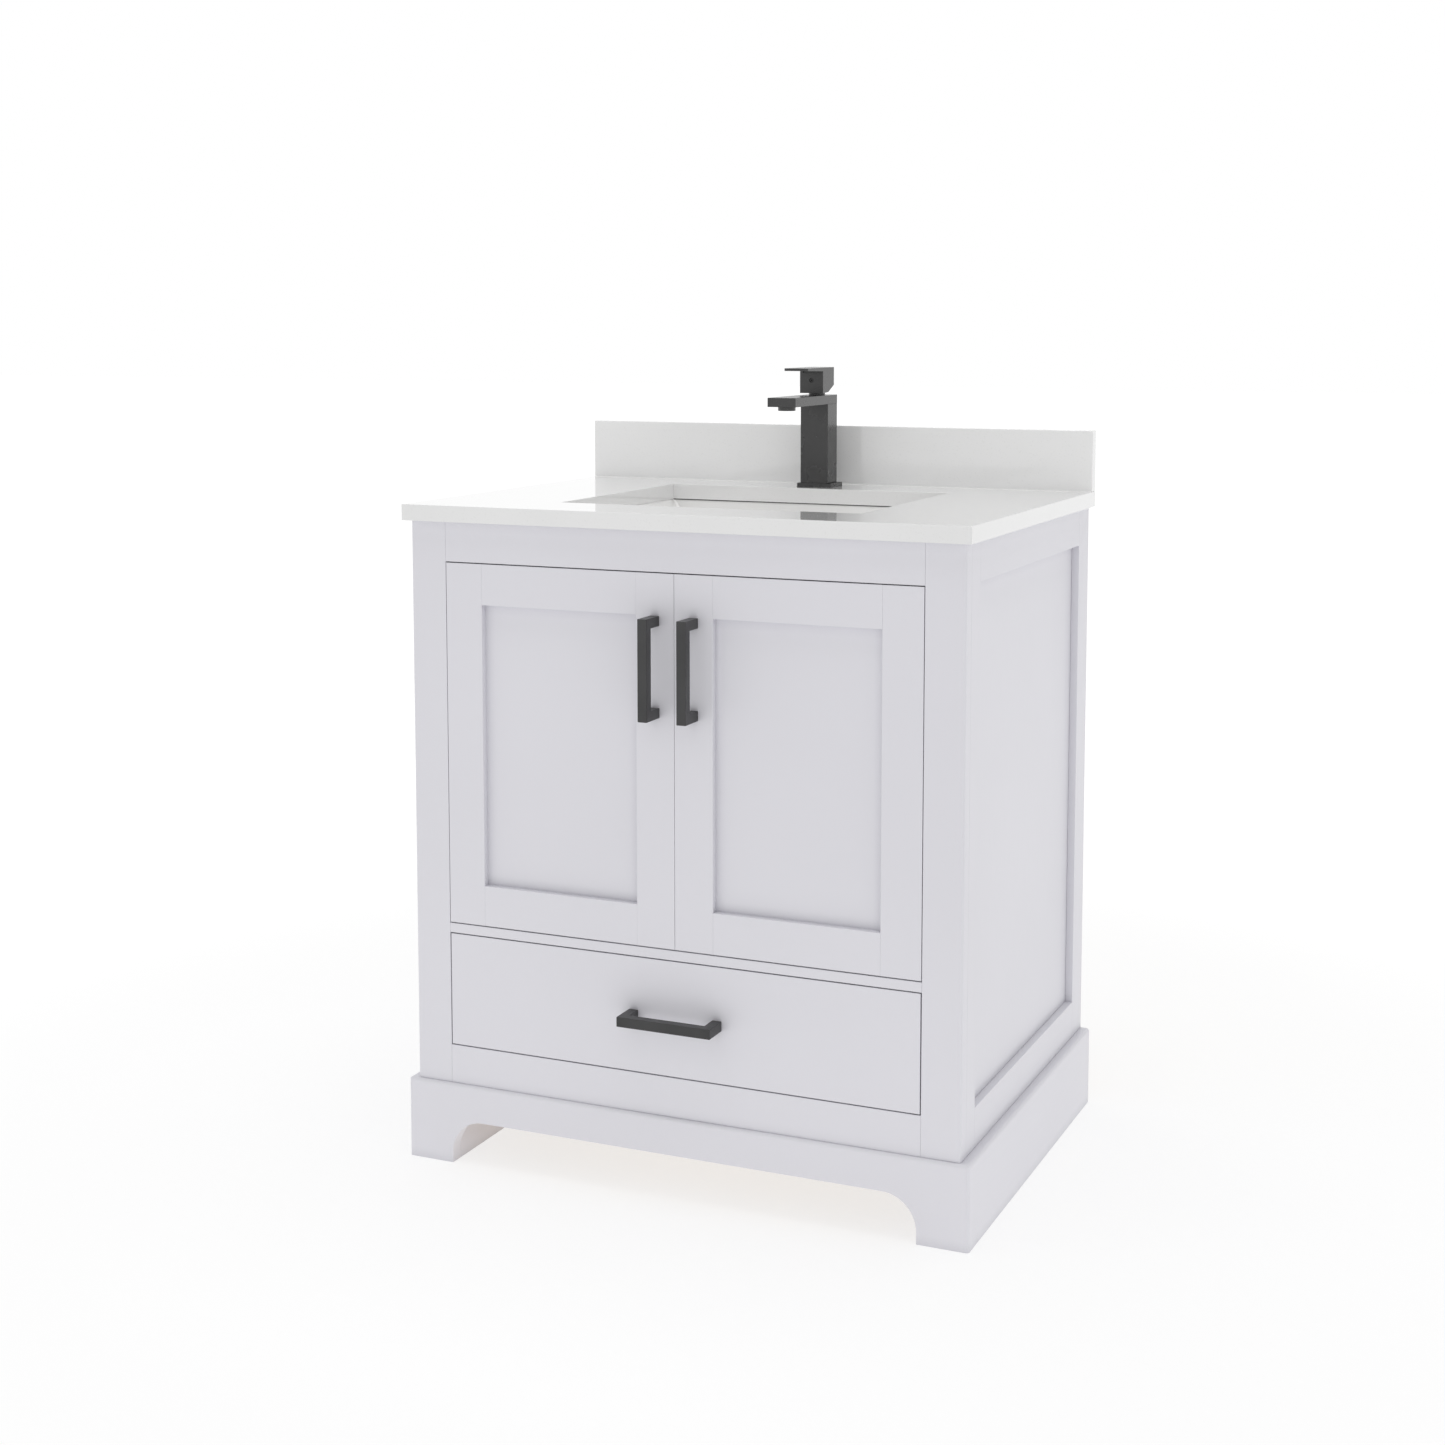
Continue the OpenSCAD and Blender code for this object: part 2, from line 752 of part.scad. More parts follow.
// Domed stopper whose stem slides in the drain's cross
module drain_stopper() {
    disc_r = drain_lip_r - 6;
    seat_z = bowl_floor_z + drain_lip_t + near_gap;
    stem_z0 = spider_z - stopper_lift - 4;
    color(steel) from_wall() translate([0, basin_y, 0]) rotate_extrude() polygon([
        [0, stem_z0],
        [stem_r, stem_z0],
        [stem_r, seat_z - 3],
        [drain_in_r - 3, seat_z - 1],
        [drain_in_r - 3, seat_z],
        [disc_r, seat_z],
        [disc_r, seat_z + 1.5],
        [disc_r - 4, seat_z + 3.5],
        [disc_r - 12, seat_z + 4.6],
        [0, seat_z + 5]
    ]);
}

// ---- Faucet ----

module faucet_base() {
    color(black_metal) from_wall() difference() {
        span([-faucet_base_w / 2, faucet_base_w / 2],
             [faucet_y - faucet_base_d / 2, faucet_y + faucet_base_d / 2],
             [top_h, base_top_z]);
        translate([0, faucet_y, top_h - cut]) cylinder(r = shank_r, h = faucet_base_t + 2 * cut);
    }
}

module cartridge_bore() {
    translate([0, cartridge_y, spout_top_z - cartridge_len - cut])
        cylinder(r = cartridge_r + pin_fit, h = cartridge_len + 2 * cut);
}

module faucet_column() {
    color(black_metal) from_wall() difference() {
        span([-faucet_w / 2, faucet_w / 2], [column_front_y, column_back_y],
             [base_top_z, spout_under_z]);
        cartridge_bore();
    }
}

module faucet_spout() {
    color(black_metal) from_wall() difference() {
        span([-faucet_w / 2, faucet_w / 2], [spout_front_y, column_back_y],
             [spout_under_z, spout_top_z]);
        cartridge_bore();
    }
}

// Round housing of the aerator, hollow where its insert sits
module faucet_aerator() {
    aerator_h = 5.5;
    rim = 2.5;
    hollow = 2;
    y = spout_front_y + aerator_in;
    color(black_metal) from_wall() translate([0, y, spout_under_z - aerator_h]) difference() {
        cylinder(d = aerator_d, h = aerator_h);
        translate([0, 0, -cut]) cylinder(d = aerator_d - 2 * rim, h = hollow + cut);
    }
}

// Threaded shank with two blind ports for the supply hoses
module faucet_shank() {
    port_r = 4.5;
    port_d = 14;
    port_x = 7;
    color(steel) from_wall() translate([0, faucet_y, top_h - shank_len]) difference() {
        cylinder(r = shank_r, h = shank_len + faucet_base_t);
        for (side = [-1, 1])
            translate([side * port_x, 0, -cut]) cylinder(r = port_r, h = port_d + cut);
    }
}

module faucet_nut() {
    nut_t = 12;
    nut_across = 2 * shank_r + 9;
    color(steel) from_wall() translate([0, faucet_y, body_h - nut_t]) difference() {
        rotate(30) hex_prism(nut_across, nut_t);
        translate([0, 0, -cut]) cylinder(r = shank_r, h = nut_t + 2 * cut);
    }
}

// Turning cartridge with the cross pin that the handle tilts on
module faucet_cartridge() {
    yoke = 11;
    pin_reach = handle_w / 2 - 1.5;
    color(steel) from_wall() translate([0, cartridge_y, 0]) {
        translate([0, 0, spout_top_z - cartridge_len])
            cylinder(r = cartridge_r, h = cartridge_len + near_gap);
        translate([0, 0, spout_top_z + near_gap]) cylinder(r = neck_r, h = neck_h);
        translate([-yoke / 2, -yoke / 2, spout_top_z + near_gap + neck_h])
            cube([yoke, yoke, tilt_z + yoke / 2 - spout_top_z - near_gap - neck_h]);
        translate([-pin_reach, 0, tilt_z]) rotate([0, 90, 0])
            cylinder(r = tilt_pin_r, h = 2 * pin_reach);
    }
}

// Hollow block with a thin lever, in side view, and holes for the cross pin and the set screw
module faucet_handle() {
    block_d = 42.2;
    heel_d = 21.5;
    // The underside rises to the back by more than the handle tilts, so it clears the spout
    back_h = 2 + heel_d * tan(handle_tilt);
    root_t = 5;
    pin_end = 1.2;
    block_front_y = handle_back_y - block_d;
    tip_y = handle_back_y - lever_len;
    cavity_x = handle_w / 2 - handle_wall;
    cavity_y = [block_front_y + handle_wall, handle_back_y - 3];
    color(black_metal) from_wall() difference() {
        along_x(-handle_w / 2, handle_w / 2) polygon([
            [tip_y, handle_top_z],
            [handle_back_y, handle_top_z],
            [handle_back_y, handle_under_z + back_h],
            [handle_back_y - heel_d, handle_under_z + 1.2],
            [block_front_y, handle_under_z],
            [block_front_y, handle_top_z - root_t],
            [tip_y, handle_top_z - lever_t]
        ]);
        span([-cavity_x, cavity_x], cavity_y, [handle_under_z - cut, handle_top_z - root_t - 2]);
        translate([-handle_w / 2 + pin_end, cartridge_y, tilt_z]) rotate([0, 90, 0])
            cylinder(r = tilt_pin_r + pin_fit, h = handle_w - 2 * pin_end);
        translate([0, block_front_y - cut, handle_under_z + handle_h / 2]) rotate([-90, 0, 0])
            cylinder(r = set_screw_hole_r, h = handle_wall + 2 * cut);
    }
}

// ---- Hinges: a cup in the door, an arm on the cabinet and two links ----

// Places a hinge's plan, drawn as in arm_pin, on the right-hand side
module hinge_plan(z) {
    translate([opening_x, front_y, z]) mirror([1, 0, 0]) children();
}

// Blocks behind the stiles that carry the arms
module hinge_blocks() {
    block_d = plate_start + hinge_plate_len + 4;
    color(birch) from_wall() both_sides() for (z = hinge_zs)
        span([opening_x + hinge_plate_t, side_in_x], [frame_back_y, frame_back_y + block_d],
             [z - hinge_block_h / 2, z + hinge_block_h / 2]);
}

module hinge_arms() {
    plate = [hinge_plate_t, hinge_plate_len, hinge_plate_h];
    arm_x = arm_pin[0] + 3;
    arm_y0 = arm_pin[1] - link_w / 2;
    arm_y1 = frame_t + plate_start + hinge_plate_len - 10;
    fork_y1 = arm_pin[1] + 12;
    color(steel) from_wall() both_sides() for (z = hinge_zs) hinge_plan(z) {
        translate([-plate[0], frame_t + plate_start, -plate[2] / 2]) cube(plate);
        difference() {
            span([0, arm_x], [arm_y0, arm_y1], [-arm_h / 2, arm_h / 2]);
            span([-cut, arm_x + cut], [arm_y0 - cut, fork_y1], [-ear_gap / 2, ear_gap / 2]);
        }
        translate([arm_pin[0], arm_pin[1], -arm_h / 2]) cylinder(r = hinge_pin_r, h = arm_h);
    }
}

module hinge_cups(left) {
    cup_wall = 1;
    flange = [cup_plate_w, cup_plate_h];
    flange_t = 1.2;
    ear_h = cup_pin[1] - frame_t + 3;
    ear_w = 9;
    color(steel) from_wall() handed(left) for (z = hinge_zs) hinge_plan(z) {
        difference() {
            union() {
                translate([cup_pin[0], frame_t, 0]) rotate([90, 0, 0]) cylinder(r = cup_r, h = cup_depth);
                translate([cup_pin[0] - flange[0] / 2, frame_t, -flange[1] / 2])
                    cube([flange[0], flange_t, flange[1]]);
                translate([cup_pin[0], frame_t + flange_t, 0]) rotate([90, 0, 0])
                    cylinder(r = cup_r + 1, h = flange_t);
            }
            translate([cup_pin[0], frame_t + flange_t + cut, 0]) rotate([90, 0, 0])
                cylinder(r = cup_r - cup_wall, h = cup_depth + flange_t + cut - cup_wall);
        }
        // Ears that rise from the cup's floor and hold its pin
        for (side = [-1, 1])
            translate([cup_pin[0] - ear_w / 2, frame_t - cup_depth + cup_wall / 2,
                       side * (ear_gap + ear_t) / 2 - ear_t / 2])
                cube([ear_w, cup_depth - cup_wall / 2 + ear_h, ear_t]);
        translate([cup_pin[0], cup_pin[1], -arm_h / 2]) cylinder(r = hinge_pin_r, h = arm_h);
    }
}

// Link from the arm's pin to the elbow, in the lower half of the ears' gap
module hinge_rear_links(left) {
    color(steel) from_wall() handed(left) for (z = hinge_zs) hinge_plan(z)
        translate([0, 0, -link_space / 2 - link_t]) linear_extrude(link_t) difference() {
            link_outline(arm_pin, elbow, link_w);
            translate(arm_pin) circle(hinge_pin_r + pin_fit);
        }
}

// Link from the cup's pin to the elbow, in the upper half
module hinge_front_links(left) {
    color(steel) from_wall() handed(left) for (z = hinge_zs) hinge_plan(z)
        translate([0, 0, link_space / 2]) linear_extrude(link_t) difference() {
            link_outline(cup_pin, elbow, link_w);
            translate(cup_pin) circle(hinge_pin_r + pin_fit);
        }
}

module left_hinge_cups() { hinge_cups(true); }
module left_hinge_rear_links() { hinge_rear_links(true); }
module left_hinge_front_links() { hinge_front_links(true); }
module right_hinge_cups() { hinge_cups(false); }
module right_hinge_rear_links() { hinge_rear_links(false); }
module right_hinge_front_links() { hinge_front_links(false); }

// ---- Doors: grooved stiles, rails with tongues, and a flat panel ----

module door_stiles(left) {
    color(paint) from_wall() handed(left) difference() {
        union() {
            translate([0, 0, door_bottom]) linear_extrude(door_top - door_bottom) polygon([
                [door_in_x, front_y],
                [door_panel_x0, front_y],
                [door_panel_x0, frame_back_y],
                [door_in_x + meeting_bevel, frame_back_y]
            ]);
            span([door_panel_x1, door_out_x], [front_y, frame_back_y], [door_bottom, door_top]);
        }
        span([door_panel_x0 - groove_d, door_panel_x1 + groove_d],
             [door_panel_y0, door_panel_y1], [door_bottom - cut, door_top + cut]);
        for (z = hinge_zs) hinge_plan(z)
            translate([cup_pin[0], frame_t + cut, 0]) rotate([90, 0, 0])
                cylinder(r = cup_r, h = cup_depth + cut);
    }
}

module door_rails(left) {
    color(paint) from_wall() handed(left)
        for (z = [[door_bottom, door_panel_z0, door_panel_z0 - groove_d],
                  [door_panel_z1, door_top, door_panel_z1]])
            difference() {
                union() {
                    span([door_panel_x0, door_panel_x1], [front_y, frame_back_y], [z[0], z[1]]);
                    span([door_panel_x0 - groove_d, door_panel_x1 + groove_d],
                         [door_panel_y0, door_panel_y1], [z[0], z[1]]);
                }
                span([door_panel_x0 - groove_d - cut, door_panel_x1 + groove_d + cut],
                     [door_panel_y0, door_panel_y1], [z[2], z[2] + groove_d]);
            }
}

module door_panel(left) {
    color(paint) from_wall() handed(left)
        span([door_panel_x0 - tongue, door_panel_x1 + tongue],
             [door_panel_y0, door_panel_y1],
             [door_panel_z0 - tongue, door_panel_z1 + tongue]);
}

// A square bar on two posts, standing out from the face and running up Z
module pull(len) {
    post = [pull_bar, pull_out, pull_bar];
    translate([-pull_bar / 2, -pull_out, 0]) {
        cube([pull_bar, pull_bar, len]);
        cube(post);
        translate([0, 0, len - pull_bar]) cube(post);
    }
}

module door_pull(left) {
    color(black_metal) from_wall() handed(left)
        translate([pull_x, front_y, door_panel_z1 - pull_len]) pull(pull_len);
}

module left_door_stiles() { door_stiles(true); }
module left_door_rails() { door_rails(true); }
module left_door_panel() { door_panel(true); }
module left_door_pull() { door_pull(true); }
module right_door_stiles() { door_stiles(false); }
module right_door_rails() { door_rails(false); }
module right_door_panel() { door_panel(false); }
module right_door_pull() { door_pull(false); }

// ---- Drawer and its telescopic slides ----

module drawer_front() {
    color(paint) from_wall()
        span([-front_x, front_x], [front_y, frame_back_y], [front_z0, front_z1]);
}

module drawer_pull() {
    color(black_metal) from_wall()
        translate([-pull_len / 2, front_y, (front_z0 + front_z1) / 2])
            rotate([0, 90, 0]) pull(pull_len);
}

module drawer_bottom_groove() {
    rim = box_t / 2;
    span([-box_x + rim, box_x - rim], [frame_back_y + rim, box_back_y - rim],
         [box_bottom_z, box_bottom_z + box_bottom_t]);
}

module drawer_sides() {
    color(birch) from_wall() both_sides() difference() {
        span([box_x - box_t, box_x], [frame_back_y, box_back_y], [box_z0, box_z1]);
        drawer_bottom_groove();
    }
}

module drawer_ends() {
    color(birch) from_wall() difference() {
        for (y = [frame_back_y, box_back_y - box_t])
            span([-box_x + box_t, box_x - box_t], [y, y + box_t], [box_z0, box_z1]);
        drawer_bottom_groove();
    }
}

module drawer_bottom() {
    color(birch) from_wall() drawer_bottom_groove();
}

// Battens that bring the slides out to the edge of the opening
module slide_battens() {
    color(birch) from_wall() both_sides()
        span([opening_x, side_in_x], [frame_back_y, -back_t],
             [slide_z - batten_h / 2, slide_z + batten_h / 2]);
}

// A channel along Y with its web at x0 and its lips reaching to x1
module channel(x0, x1, h) {
    web_x = x1 > x0 ? x0 : x0 - sheet_t;
    span([web_x, web_x + sheet_t], [frame_back_y, box_back_y], [slide_z - h / 2, slide_z + h / 2]);
    for (z = [slide_z - h / 2, slide_z + h / 2 - sheet_t])
        span([min(x0, x1), max(x0, x1)], [frame_back_y, box_back_y], [z, z + sheet_t]);
}

module slide_outer_members() {
    color(steel) from_wall() both_sides()
        channel(-opening_x, -(box_x + 2 * slide_gap + sheet_t), slide_h);
}

module slide_middle_members() {
    color(steel) from_wall() both_sides()
        channel(-(opening_x - sheet_t - slide_gap), -(box_x + 2 * slide_gap + sheet_t),
                slide_h - step_in);
}

module slide_inner_members() {
    color(steel) from_wall() both_sides()
        channel(-box_x, -(opening_x - 2 * sheet_t - 2 * slide_gap), slide_h - 2 * step_in);
}

face_stiles();
top_rail();
middle_rail();
bottom_rail();
left_side_stiles();
left_side_rails();
left_side_panel();
right_side_stiles();
right_side_rails();
right_side_panel();
back_top_rail();
back_panel();
deck();
cabinet_floor();
corner_braces();
plinth_front();
plinth_sides();
plinth_back();
countertop();
backsplash();
sink_basin();
sink_clips();
drain_flange();
drain_lock_nut();
drain_tailpiece();
drain_slip_nut();
drain_stopper();
faucet_base();
faucet_column();
faucet_spout();
faucet_aerator();
faucet_shank();
faucet_nut();
faucet_cartridge();
faucet_handle();
hinge_blocks();
hinge_arms();
slide_battens();
slide_outer_members();
slide_middle_members();
slide_inner_members();
left_door_stiles();
left_door_rails();
left_door_panel();
left_door_pull();
left_hinge_cups();
left_hinge_rear_links();
left_hinge_front_links();
right_door_stiles();
right_door_rails();
right_door_panel();
right_door_pull();
right_hinge_cups();
right_hinge_rear_links();
right_hinge_front_links();
drawer_front();
drawer_pull();
drawer_sides();
drawer_ends();
drawer_bottom();
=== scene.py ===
import json
from math import pi, radians, sqrt

import bmesh
import bpy
from mathutils import Matrix, Vector


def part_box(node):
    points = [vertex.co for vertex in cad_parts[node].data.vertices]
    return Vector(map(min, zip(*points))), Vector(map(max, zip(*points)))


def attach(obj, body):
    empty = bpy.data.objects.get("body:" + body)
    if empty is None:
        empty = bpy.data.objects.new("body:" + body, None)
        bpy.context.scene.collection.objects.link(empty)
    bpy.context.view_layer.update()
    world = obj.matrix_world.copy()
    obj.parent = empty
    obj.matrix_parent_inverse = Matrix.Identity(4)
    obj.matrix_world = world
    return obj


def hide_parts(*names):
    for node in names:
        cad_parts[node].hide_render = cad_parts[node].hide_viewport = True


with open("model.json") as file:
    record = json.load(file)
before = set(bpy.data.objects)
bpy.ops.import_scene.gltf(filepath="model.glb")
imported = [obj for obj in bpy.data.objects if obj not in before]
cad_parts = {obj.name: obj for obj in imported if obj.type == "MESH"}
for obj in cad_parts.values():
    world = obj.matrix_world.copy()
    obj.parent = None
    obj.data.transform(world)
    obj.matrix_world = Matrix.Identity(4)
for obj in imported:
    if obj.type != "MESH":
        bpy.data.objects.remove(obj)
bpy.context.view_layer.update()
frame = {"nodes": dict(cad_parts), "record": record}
bodies = frame["record"]["behaviour"]["bodies"]
nodeBody = {node: body for body, nodes in bodies.items() for node in nodes}
print("frame loaded:", len(nodeBody), "nodes")


# Makes a material and sets its shader's own sockets, given as words joined by underscores
def startMaterial(name, **constants):
    material = bpy.data.materials.new(name)
    material.use_nodes = True
    tree = material.node_tree
    shader = tree.nodes["Principled BSDF"]
    for key, value in constants.items():
        shader.inputs[key.replace("_", " ")].default_value = value
    return material, tree, shader


def addNode(tree, kind, inputs=None, **settings):
    node = tree.nodes.new("ShaderNode" + kind)
    for key, value in settings.items():
        setattr(node, key, value)
    for key, value in (inputs or {}).items():
        if isinstance(value, bpy.types.NodeSocket):
            tree.links.new(value, node.inputs[key])
        else:
            node.inputs[key].default_value = value
    return node


# The point in the part's own frame, stretched along each axis
def objectPoint(tree, scale=(1, 1, 1)):
    place = addNode(tree, "TexCoord").outputs["Object"]
    return addNode(tree, "Mapping", {"Vector": place, "Scale": scale}).outputs["Vector"]


def noise(tree, point, scale, detail=3.0, roughness=0.5, distortion=0.0):
    return addNode(tree, "TexNoise", {
        "Vector": point, "Scale": scale, "Detail": detail,
        "Roughness": roughness, "Distortion": distortion,
    }).outputs["Fac"]


# One random value for each grain of a broken surface
def grains(tree, scale):
    cells = addNode(tree, "TexVoronoi", {"Vector": objectPoint(tree), "Scale": scale}).outputs["Color"]
    return addNode(tree, "SeparateColor", {"Color": cells}).outputs["Red"]


# Maps a value to colours, with stops given as (position, colour)
def ramp(tree, value, *stops):
    node = addNode(tree, "ValToRGB", {"Fac": value})
    steps = node.color_ramp.elements
    while len(steps) < len(stops):
        steps.new(1.0)
    for step, (position, colour) in zip(steps, stops):
        step.position = position
        step.color = (*colour, 1.0)
    return node.outputs["Color"]


# Stretches a noise value, which runs from about 0.3 to 0.7, to a range
def spread(tree, value, low, high):
    return addNode(tree, "MapRange", {
        "Value": value, "From Min": 0.3, "From Max": 0.7, "To Min": low, "To Max": high,
    }).outputs["Result"]


def mixed(tree, factor, first, second, blend="MIX"):
    node = addNode(tree, "Mix", data_type="RGBA", blend_type=blend)
    for socket, value in ((node.inputs[0], factor), (node.inputs[6], first), (node.inputs[7], second)):
        if isinstance(value, bpy.types.NodeSocket):
            tree.links.new(value, socket)
        elif isinstance(value, tuple):
            socket.default_value = (*value, 1.0)
        else:
            socket.default_value = value
    return node.outputs[2]


# 1 for rays from the camera or a reflection, 0 for the light that falls on the object
def seenRays(tree):
    paths = addNode(tree, "LightPath")
    return addNode(tree, "Math", {0: paths.outputs["Is Camera Ray"], 1: paths.outputs["Is Glossy Ray"]},
                   operation="MAXIMUM").outputs["Value"]


# Stacks bumps, each given as (height, strength, depth in metres)
def bump(tree, shader, *layers):
    normal = None
    for height, strength, depth in layers:
        inputs = {"Height": height, "Strength": strength, "Distance": depth}
        if normal:
            inputs["Normal"] = normal
        normal = addNode(tree, "Bump", inputs).outputs["Normal"]
    tree.links.new(normal, shader.inputs["Normal"])


# Sprayed satin paint over board: faint grain along one axis, with painted shade that darkens the colour in creases,
# recesses and under parts, but not on faces turned to the back, such as a door's back
def paintMaterial(name, along):
    colour = {"deep": (0.788, 0.781, 0.826), "light": (0.808, 0.801, 0.847), "paintedCreaseShade": (0.77, 0.77, 0.78)}
    paintedShadeReach, backFrom = 0.014, 0.5
    material, tree, shader = startMaterial(name, Specular_IOR_Level=0.4, Coat_Weight=0.06, Coat_Roughness=0.3)
    stretch = [34.0, 34.0, 34.0]
    stretch["XYZ".index(along)] = 2.5
    drift = noise(tree, objectPoint(tree), 3.0, detail=2.0)
    coat = ramp(tree, drift, (0.3, colour["deep"]), (0.7, colour["light"]))
    # Painted shade: ambient occlusion within a short reach darkens the paint's colour where creases and recesses lie
    # in shade
    occlusionShade = addNode(tree, "AmbientOcclusion", {"Distance": paintedShadeReach}, samples=8).outputs["AO"]
    paintedCreaseShade = ramp(tree, occlusionShade, (0.0, colour["paintedCreaseShade"]), (1.0, (1.0, 1.0, 1.0)))
    # The painted shade is left off faces turned to the back, such as a door's back
    facing = addNode(tree, "SeparateXYZ", {"Vector": addNode(tree, "TexCoord").outputs["Normal"]}).outputs["Y"]
    paintedShadeMask = addNode(tree, "Math", {0: facing, 1: backFrom}, operation="LESS_THAN").outputs["Value"]
    tree.links.new(mixed(tree, paintedShadeMask, coat, paintedCreaseShade, blend="MULTIPLY"), shader.inputs["Base Color"])
    grain = noise(tree, objectPoint(tree, stretch), 9.0, detail=4.0)
    peel = noise(tree, objectPoint(tree), 620.0, detail=2.0)
    tree.links.new(spread(tree, grain, 0.36, 0.46), shader.inputs["Roughness"])
    bump(tree, shader, (grain, 0.05, 0.0004), (peel, 0.07, 0.0001))
    return material


# Clear lacquered birch, with long grain, faint growth bands and small flecks
def boardMaterial(name, along):
    colour = {"pale": (0.71, 0.56, 0.385), "mid": (0.63, 0.47, 0.3), "dark": (0.5, 0.35, 0.21)}
    material, tree, shader = startMaterial(name, Specular_IOR_Level=0.4, Coat_Weight=0.12, Coat_Roughness=0.25)
    stretch = [1.0, 1.0, 1.0]
    stretch["XYZ".index(along)] = 0.055
    point = objectPoint(tree, stretch)
    bands = addNode(tree, "TexWave", {
        "Vector": point, "Scale": 16.0, "Distortion": 9.0, "Detail": 2.0, "Detail Scale": 1.6,
    }, wave_type="BANDS", bands_direction="DIAGONAL").outputs["Fac"]
    fibre = noise(tree, point, 260.0, detail=5.0, roughness=0.65)
    figure = ramp(tree, bands, (0.0, colour["pale"]), (0.75, colour["pale"]), (1.0, colour["mid"]))
    fleck = ramp(tree, fibre, (0.36, colour["dark"]), (0.5, (1.0, 1.0, 1.0)))
    tree.links.new(mixed(tree, 0.4, figure, fleck, blend="MULTIPLY"), shader.inputs["Base Color"])
    tree.links.new(spread(tree, fibre, 0.42, 0.6), shader.inputs["Roughness"])
    bump(tree, shader, (fibre, 0.22, 0.0003), (bands, 0.05, 0.0003))
    return material


# Polished white engineered stone: a trace of clouding, fine grains and a near-mirror face
def quartzMaterial():
    colour = {"cloud": (0.85, 0.85, 0.848), "field": (0.868, 0.868, 0.866), "grain": (0.78, 0.78, 0.772)}
    material, tree, shader = startMaterial("whiteQuartz", IOR=1.52, Coat_Weight=0.8, Coat_Roughness=0.025)
    cloud = noise(tree, objectPoint(tree), 7.0, detail=4.0)
    clouded = ramp(tree, cloud, (0.32, colour["cloud"]), (0.6, colour["field"]))
    single = grains(tree, 650.0)
    specks = ramp(tree, single, (0.0, (0.0, 0.0, 0.0)), (0.93, (0.0, 0.0, 0.0)), (0.97, (0.35, 0.35, 0.35)))
    tree.links.new(mixed(tree, specks, clouded, colour["grain"]), shader.inputs["Base Color"])
    polish = noise(tree, objectPoint(tree), 60.0, detail=2.0)
    tree.links.new(spread(tree, polish, 0.05, 0.09), shader.inputs["Roughness"])
    bump(tree, shader, (single, 0.01, 0.00002))
    return material


# White glazed china whose thick glaze is slightly wavy
def chinaMaterial():
    colour = {"thin": (0.835, 0.83, 0.82), "full": (0.87, 0.867, 0.86)}
    material, tree, shader = startMaterial("whiteChina", Specular_IOR_Level=0.5, Coat_Weight=0.6, Coat_Roughness=0.03)
    body = noise(tree, objectPoint(tree), 9.0, detail=2.0)
    tree.links.new(ramp(tree, body, (0.3, colour["thin"]), (0.6, colour["full"])), shader.inputs["Base Color"])
    pinholes = noise(tree, objectPoint(tree), 240.0, detail=1.0)
    tree.links.new(spread(tree, pinholes, 0.1, 0.16), shader.inputs["Roughness"])
    bump(tree, shader, (body, 0.14, 0.001), (pinholes, 0.03, 0.0001))
    return material


# Black coating over metal: a fine texture, with a trace of polish where hands rub
def blackMaterial(name, finish):
    material, tree, shader = startMaterial(name, IOR=finish["ior"], Coat_Weight=finish["coat"], Coat_Roughness=0.3)
    rub = noise(tree, objectPoint(tree), 26.0, detail=4.0)
    grit = noise(tree, objectPoint(tree), 2400.0, detail=2.0)
    tree.links.new(ramp(tree, rub, (0.35, finish["deep"]), (0.66, finish["worn"])), shader.inputs["Base Color"])
    tree.links.new(spread(tree, rub, *finish["roughness"]), shader.inputs["Roughness"])
    bump(tree, shader, (grit, finish["grit"], 0.00006))
    return material


# Chrome plate with faint water spots and fine wiping marks
def chromeMaterial():
    colour = {"bright": (0.88, 0.885, 0.89), "spotted": (0.8, 0.81, 0.82)}
    material, tree, shader = startMaterial("chromePlate", Metallic=1.0)
    spots = noise(tree, objectPoint(tree), 180.0, detail=3.0)
    wipes = noise(tree, objectPoint(tree, (1, 1, 12)), 60.0, detail=4.0)
    tree.links.new(ramp(tree, spots, (0.4, colour["bright"]), (0.72, colour["spotted"])), shader.inputs["Base Color"])
    tree.links.new(spread(tree, wipes, 0.05, 0.12), shader.inputs["Roughness"])
    bump(tree, shader, (wipes, 0.02, 0.0001))
    return material


# Zinc-plated steel: soft grey spangle, fine drawing lines and dull patches
def zincMaterial():
    colour = {"dull": (0.5, 0.51, 0.52), "bright": (0.68, 0.69, 0.71)}
    material, tree, shader = startMaterial("zincSteel", Metallic=1.0)
    drawn = noise(tree, objectPoint(tree, (1, 0.06, 1)), 900.0, detail=3.0)
    spangle = ramp(tree, grains(tree, 320.0), (0.0, colour["dull"]), (1.0, colour["bright"]))
    tree.links.new(spangle, shader.inputs["Base Color"])
    tree.links.new(spread(tree, drawn, 0.28, 0.42), shader.inputs["Roughness"])
    bump(tree, shader, (drawn, 0.08, 0.00008))
    return material


# Sealant, gasket or rubber: matte, with a skin that is a little uneven
def softMaterial(name, pale, dark, roughness):
    material, tree, shader = startMaterial(name, Specular_IOR_Level=0.35)
    skin = noise(tree, objectPoint(tree), 420.0, detail=3.0)
    tree.links.new(ramp(tree, skin, (0.3, dark), (0.7, pale)), shader.inputs["Base Color"])
    tree.links.new(spread(tree, skin, roughness - 0.07, roughness + 0.07), shader.inputs["Roughness"])
    bump(tree, shader, (skin, 0.2, 0.0002))
    return material


